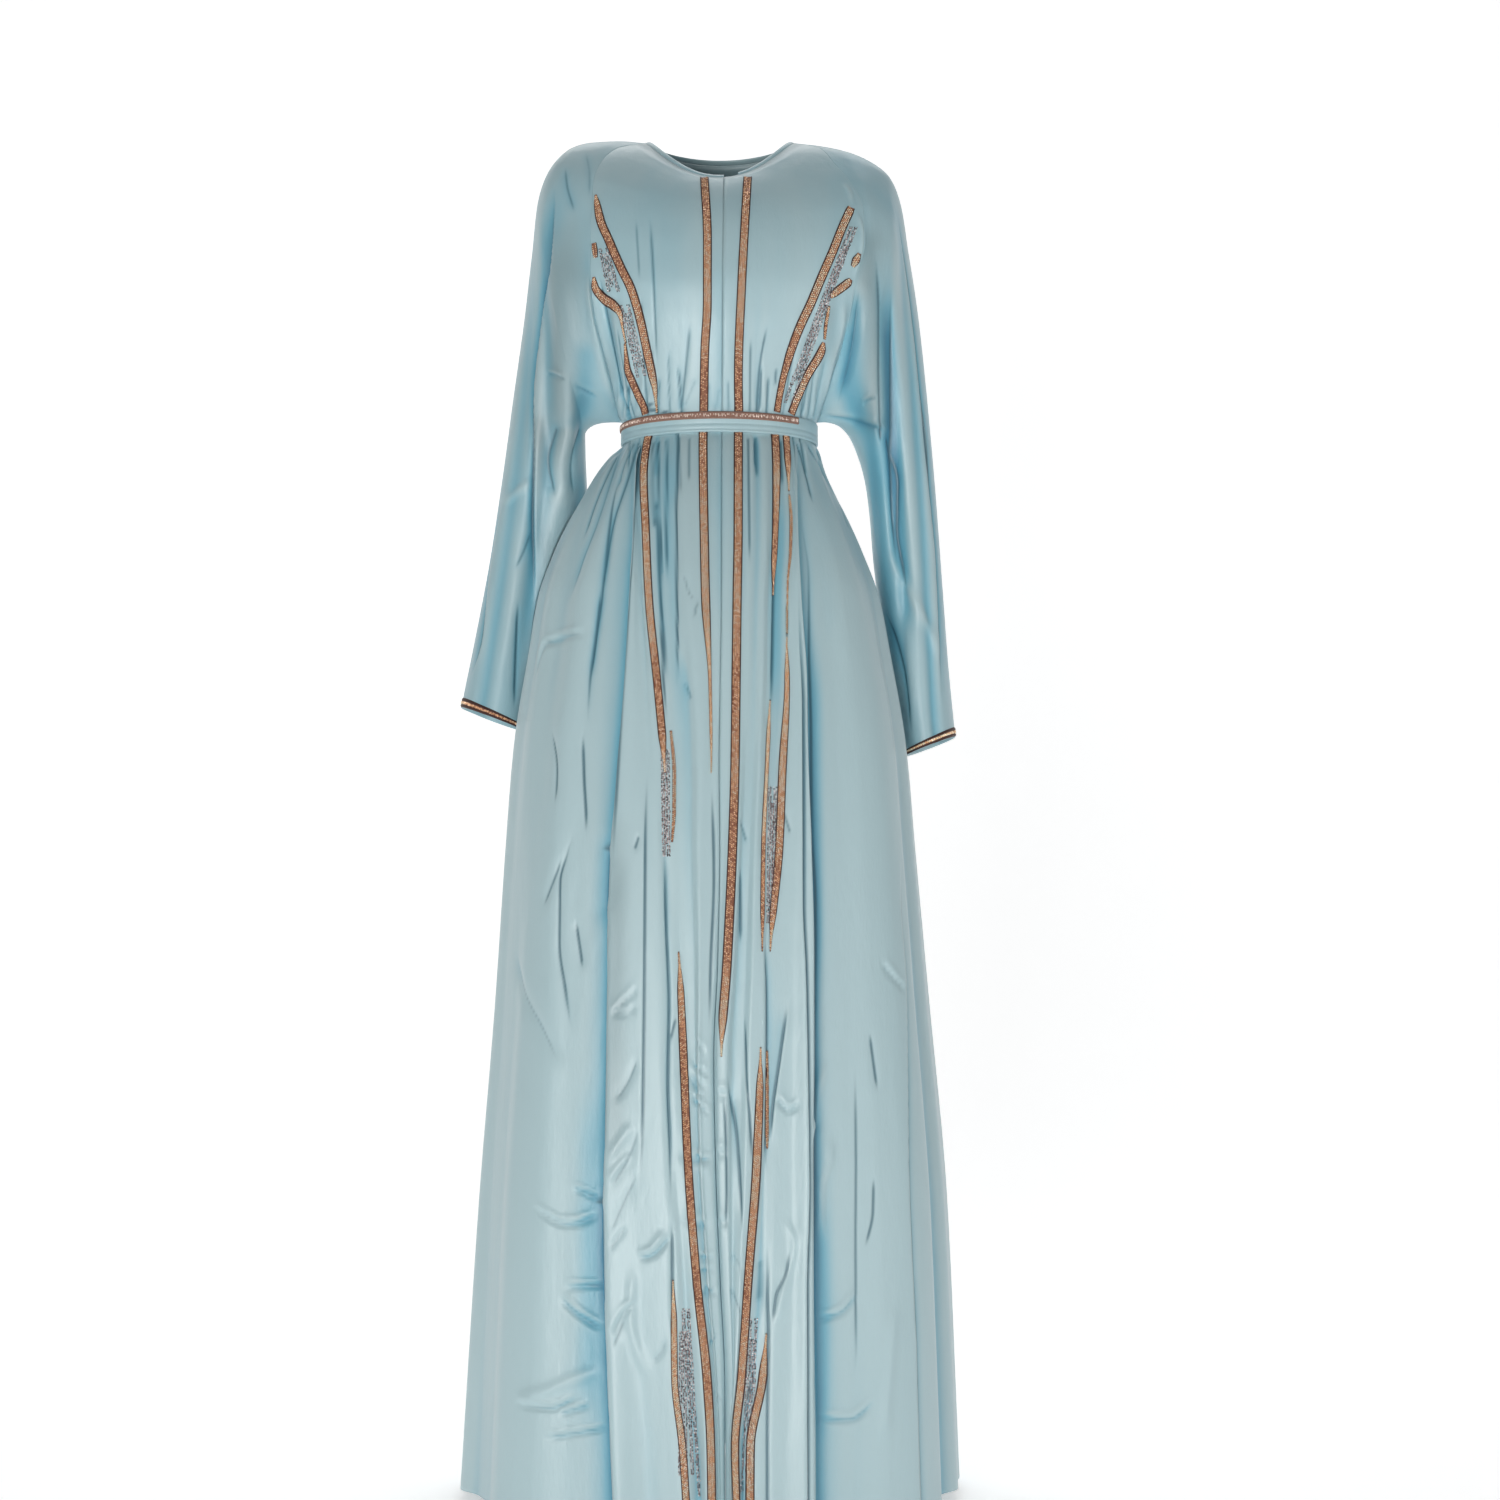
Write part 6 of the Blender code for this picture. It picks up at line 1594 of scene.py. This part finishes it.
# The belt's braid
# Two rows of small square beads along the belt's upper edge, all round but for its plain end.
BELT_BRAID_START = 0.02   # its upper edge, as a share of the belt's height
BELT_BEAD_COLUMNS = 2
BELT_BEAD_PITCH = 0.00185
BELT_BEAD_SIZE = (0.00180, 0.00072, 0.0007)
rows = [top_ring + (foot_ring - top_ring) * share + (top_out + (foot_out - top_out) * share)
        * (BELT_LIFT + BELT_CLOTH) for share in np.linspace(BELT_BRAID_START, BELT_BEADED / BELT_HEIGHT,
                                                          len(RIBBON_PROFILE))]
round_points = np.stack(rows, axis=1)
round_out = np.repeat(unit(top_out)[:, None], len(RIBBON_PROFILE), axis=1)
plain = np.flatnonzero(round_points[:, 0, 0] > BELT_BRAID_END)
order = np.append(np.arange(plain[-1] + 1, len(round_points)), np.arange(plain[0]))
points, out = round_points[order], round_out[order]
steps = distances(points[:, RIBBON_MIDDLE])
belt_braid = lay_braid("belt_braid", points, out, steps, 0.0, (), BELT_BEAD_COLUMNS, BELT_BEAD_PITCH,
                       BELT_BEAD_SIZE)
belt_beads = Finish("belt_beads", Metallic=0.10, Specular_IOR_Level=0.9)
tone = belt_beads.trait("tone")
belt_beads.show(Base_Color=belt_beads.mix(belt_beads.within(tone, 0.25, 0.65), (0.42, 0.230, 0.170, 1.0),
                                          (0.92, 0.76, 0.66, 1.0)), Roughness=0.22 + tone * 0.1)
belt_ground = Finish("belt_braid_ground", Specular_IOR_Level=0.4)
weft = belt_ground.noise((1500.0, 1500.0, 1500.0), 2.0)
belt_ground.show(Base_Color=belt_ground.mix(weft, (0.17, 0.082, 0.060, 1.0), (0.36, 0.215, 0.165, 1.0)),
                 Roughness=0.5 + weft * 0.2)
belt_braid.data.materials[0] = belt_ground.material
belt_braid.data.materials[1] = belt_beads.material


# The braids round the cuffs
# The same trim as on the fronts, laid round each sleeve from its lower edge upwards.
CUFF_BRAID = 0.009
CUFF_BRAID_START = 0.04   # its lower edge, as a share of its width
for side, name in ((RIGHT, "cuff_braid_right"), (LEFT, "cuff_braid_left")):
    cuff = sleeves[side]
    away = np.linalg.norm(cuff.points - cuff.points[-1], axis=2).mean(1)
    rows = []
    for share in np.linspace(CUFF_BRAID_START, 1.0, len(RIBBON_PROFILE)):
        wanted = CUFF_BRAID * share
        i = int(np.searchsorted(-away, -wanted)) - 1
        t = (away[i] - wanted) / (away[i] - away[i + 1])
        rows.append((cuff.points[i] * (1 - t) + cuff.points[i + 1] * t, cuff.normals()[i]))
    points = np.stack([row[0] for row in rows], axis=1)
    out = np.stack([row[1] for row in rows], axis=1)
    points = np.concatenate([points, points[:1]])
    out = np.concatenate([out, out[:1]])
    steps = distances(points[:, RIBBON_MIDDLE])
    lay_braid(name, points, out, steps, BEAD_SLANT, (), BEAD_COLUMNS, BEAD_PITCH, BEAD_SIZE)


# Floor, backdrop, light and camera
# A white paper sweep that the gown hangs just above, under large soft lamps.
HEM_GAP = 0.012
FLOOR = -LENGTH - HEM_GAP
SWEEP_FRONT = -4.0
SWEEP_BEND = 1.2
SWEEP_RADIUS = 1.4
SWEEP_TOP = 3.4
SWEEP_HALF = 5.0
PAPER_GLOW = 0.44         # lit from behind, so that it photographs white
turns = np.linspace(0, pi / 2, 24)
bend = [(SWEEP_BEND + SWEEP_RADIUS * sin(turn), FLOOR + SWEEP_RADIUS * (1 - cos(turn))) for turn in turns]
profile = [(SWEEP_FRONT, FLOOR)] + bend + [(SWEEP_BEND + SWEEP_RADIUS, SWEEP_TOP)]
vertices = [(x, y, z) for y, z in profile for x in (-SWEEP_HALF, SWEEP_HALF)]
faces = [(2 * i, 2 * i + 1, 2 * i + 3, 2 * i + 2) for i in range(len(profile) - 1)]
paper = Finish("paper_sweep", Roughness=0.9, Specular_IOR_Level=0.1)
paper.shader.inputs["Base Color"].default_value = (0.92, 0.92, 0.92, 1.0)
paper.shader.inputs["Emission Color"].default_value = (1.0, 1.0, 1.0, 1.0)
paper.shader.inputs["Emission Strength"].default_value = PAPER_GLOW
mesh = bpy.data.meshes.new("sweep")
mesh.from_pydata(vertices, [], faces)
mesh.materials.append(paper.material)
mesh.shade_smooth()
sweep = bpy.data.objects.new("sweep", mesh)
bpy.context.scene.collection.objects.link(sweep)

LAMPS_AIM = (0, 0, -0.75)
WORLD_GLOW = 0.24
LAMPS = (
    ("key", (-0.8, -3.3, -1.35), (1.2, 1.2), 62, (1.0, 0.985, 0.965)),
    ("fill", (2.2, -2.8, -1.3), (1.6, 1.6), 17, (0.96, 0.985, 1.0)),
    ("back", (0.0, 1.6, 2.6), (3.0, 1.5), 34, (1.0, 1.0, 1.0)),
)
for name, spot, size, watts, colour in LAMPS:
    lamp = bpy.data.lights.new(name, "AREA")
    lamp.shape = "RECTANGLE"
    lamp.size, lamp.size_y = size
    lamp.energy = watts
    lamp.color = colour
    holder = bpy.data.objects.new(name, lamp)
    holder.location = spot
    holder.rotation_euler = (Vector(LAMPS_AIM) - Vector(spot)).to_track_quat("-Z", "Y").to_euler()
    bpy.context.scene.collection.objects.link(holder)
world = bpy.data.worlds.new("studio")
world.use_nodes = True
world.node_tree.nodes["Background"].inputs["Color"].default_value = (1.0, 1.0, 1.0, 1.0)
world.node_tree.nodes["Background"].inputs["Strength"].default_value = WORLD_GLOW
bpy.context.scene.world = world
bpy.context.scene.view_settings.view_transform = "Standard"

CAMERA_AT = (0.035, -3.0, -0.9128)
CAMERA_PITCH = 94         # degrees: four above level
LENS = 63.6
SENSOR = 36
NEAREST = 0.05
camera = bpy.data.objects.new("camera", bpy.data.cameras.new("camera"))
camera.location = CAMERA_AT
camera.rotation_euler = (radians(CAMERA_PITCH), 0, 0)
camera.data.lens = LENS
camera.data.sensor_width = SENSOR
camera.data.clip_start = NEAREST
bpy.context.scene.collection.objects.link(camera)
bpy.context.scene.camera = camera
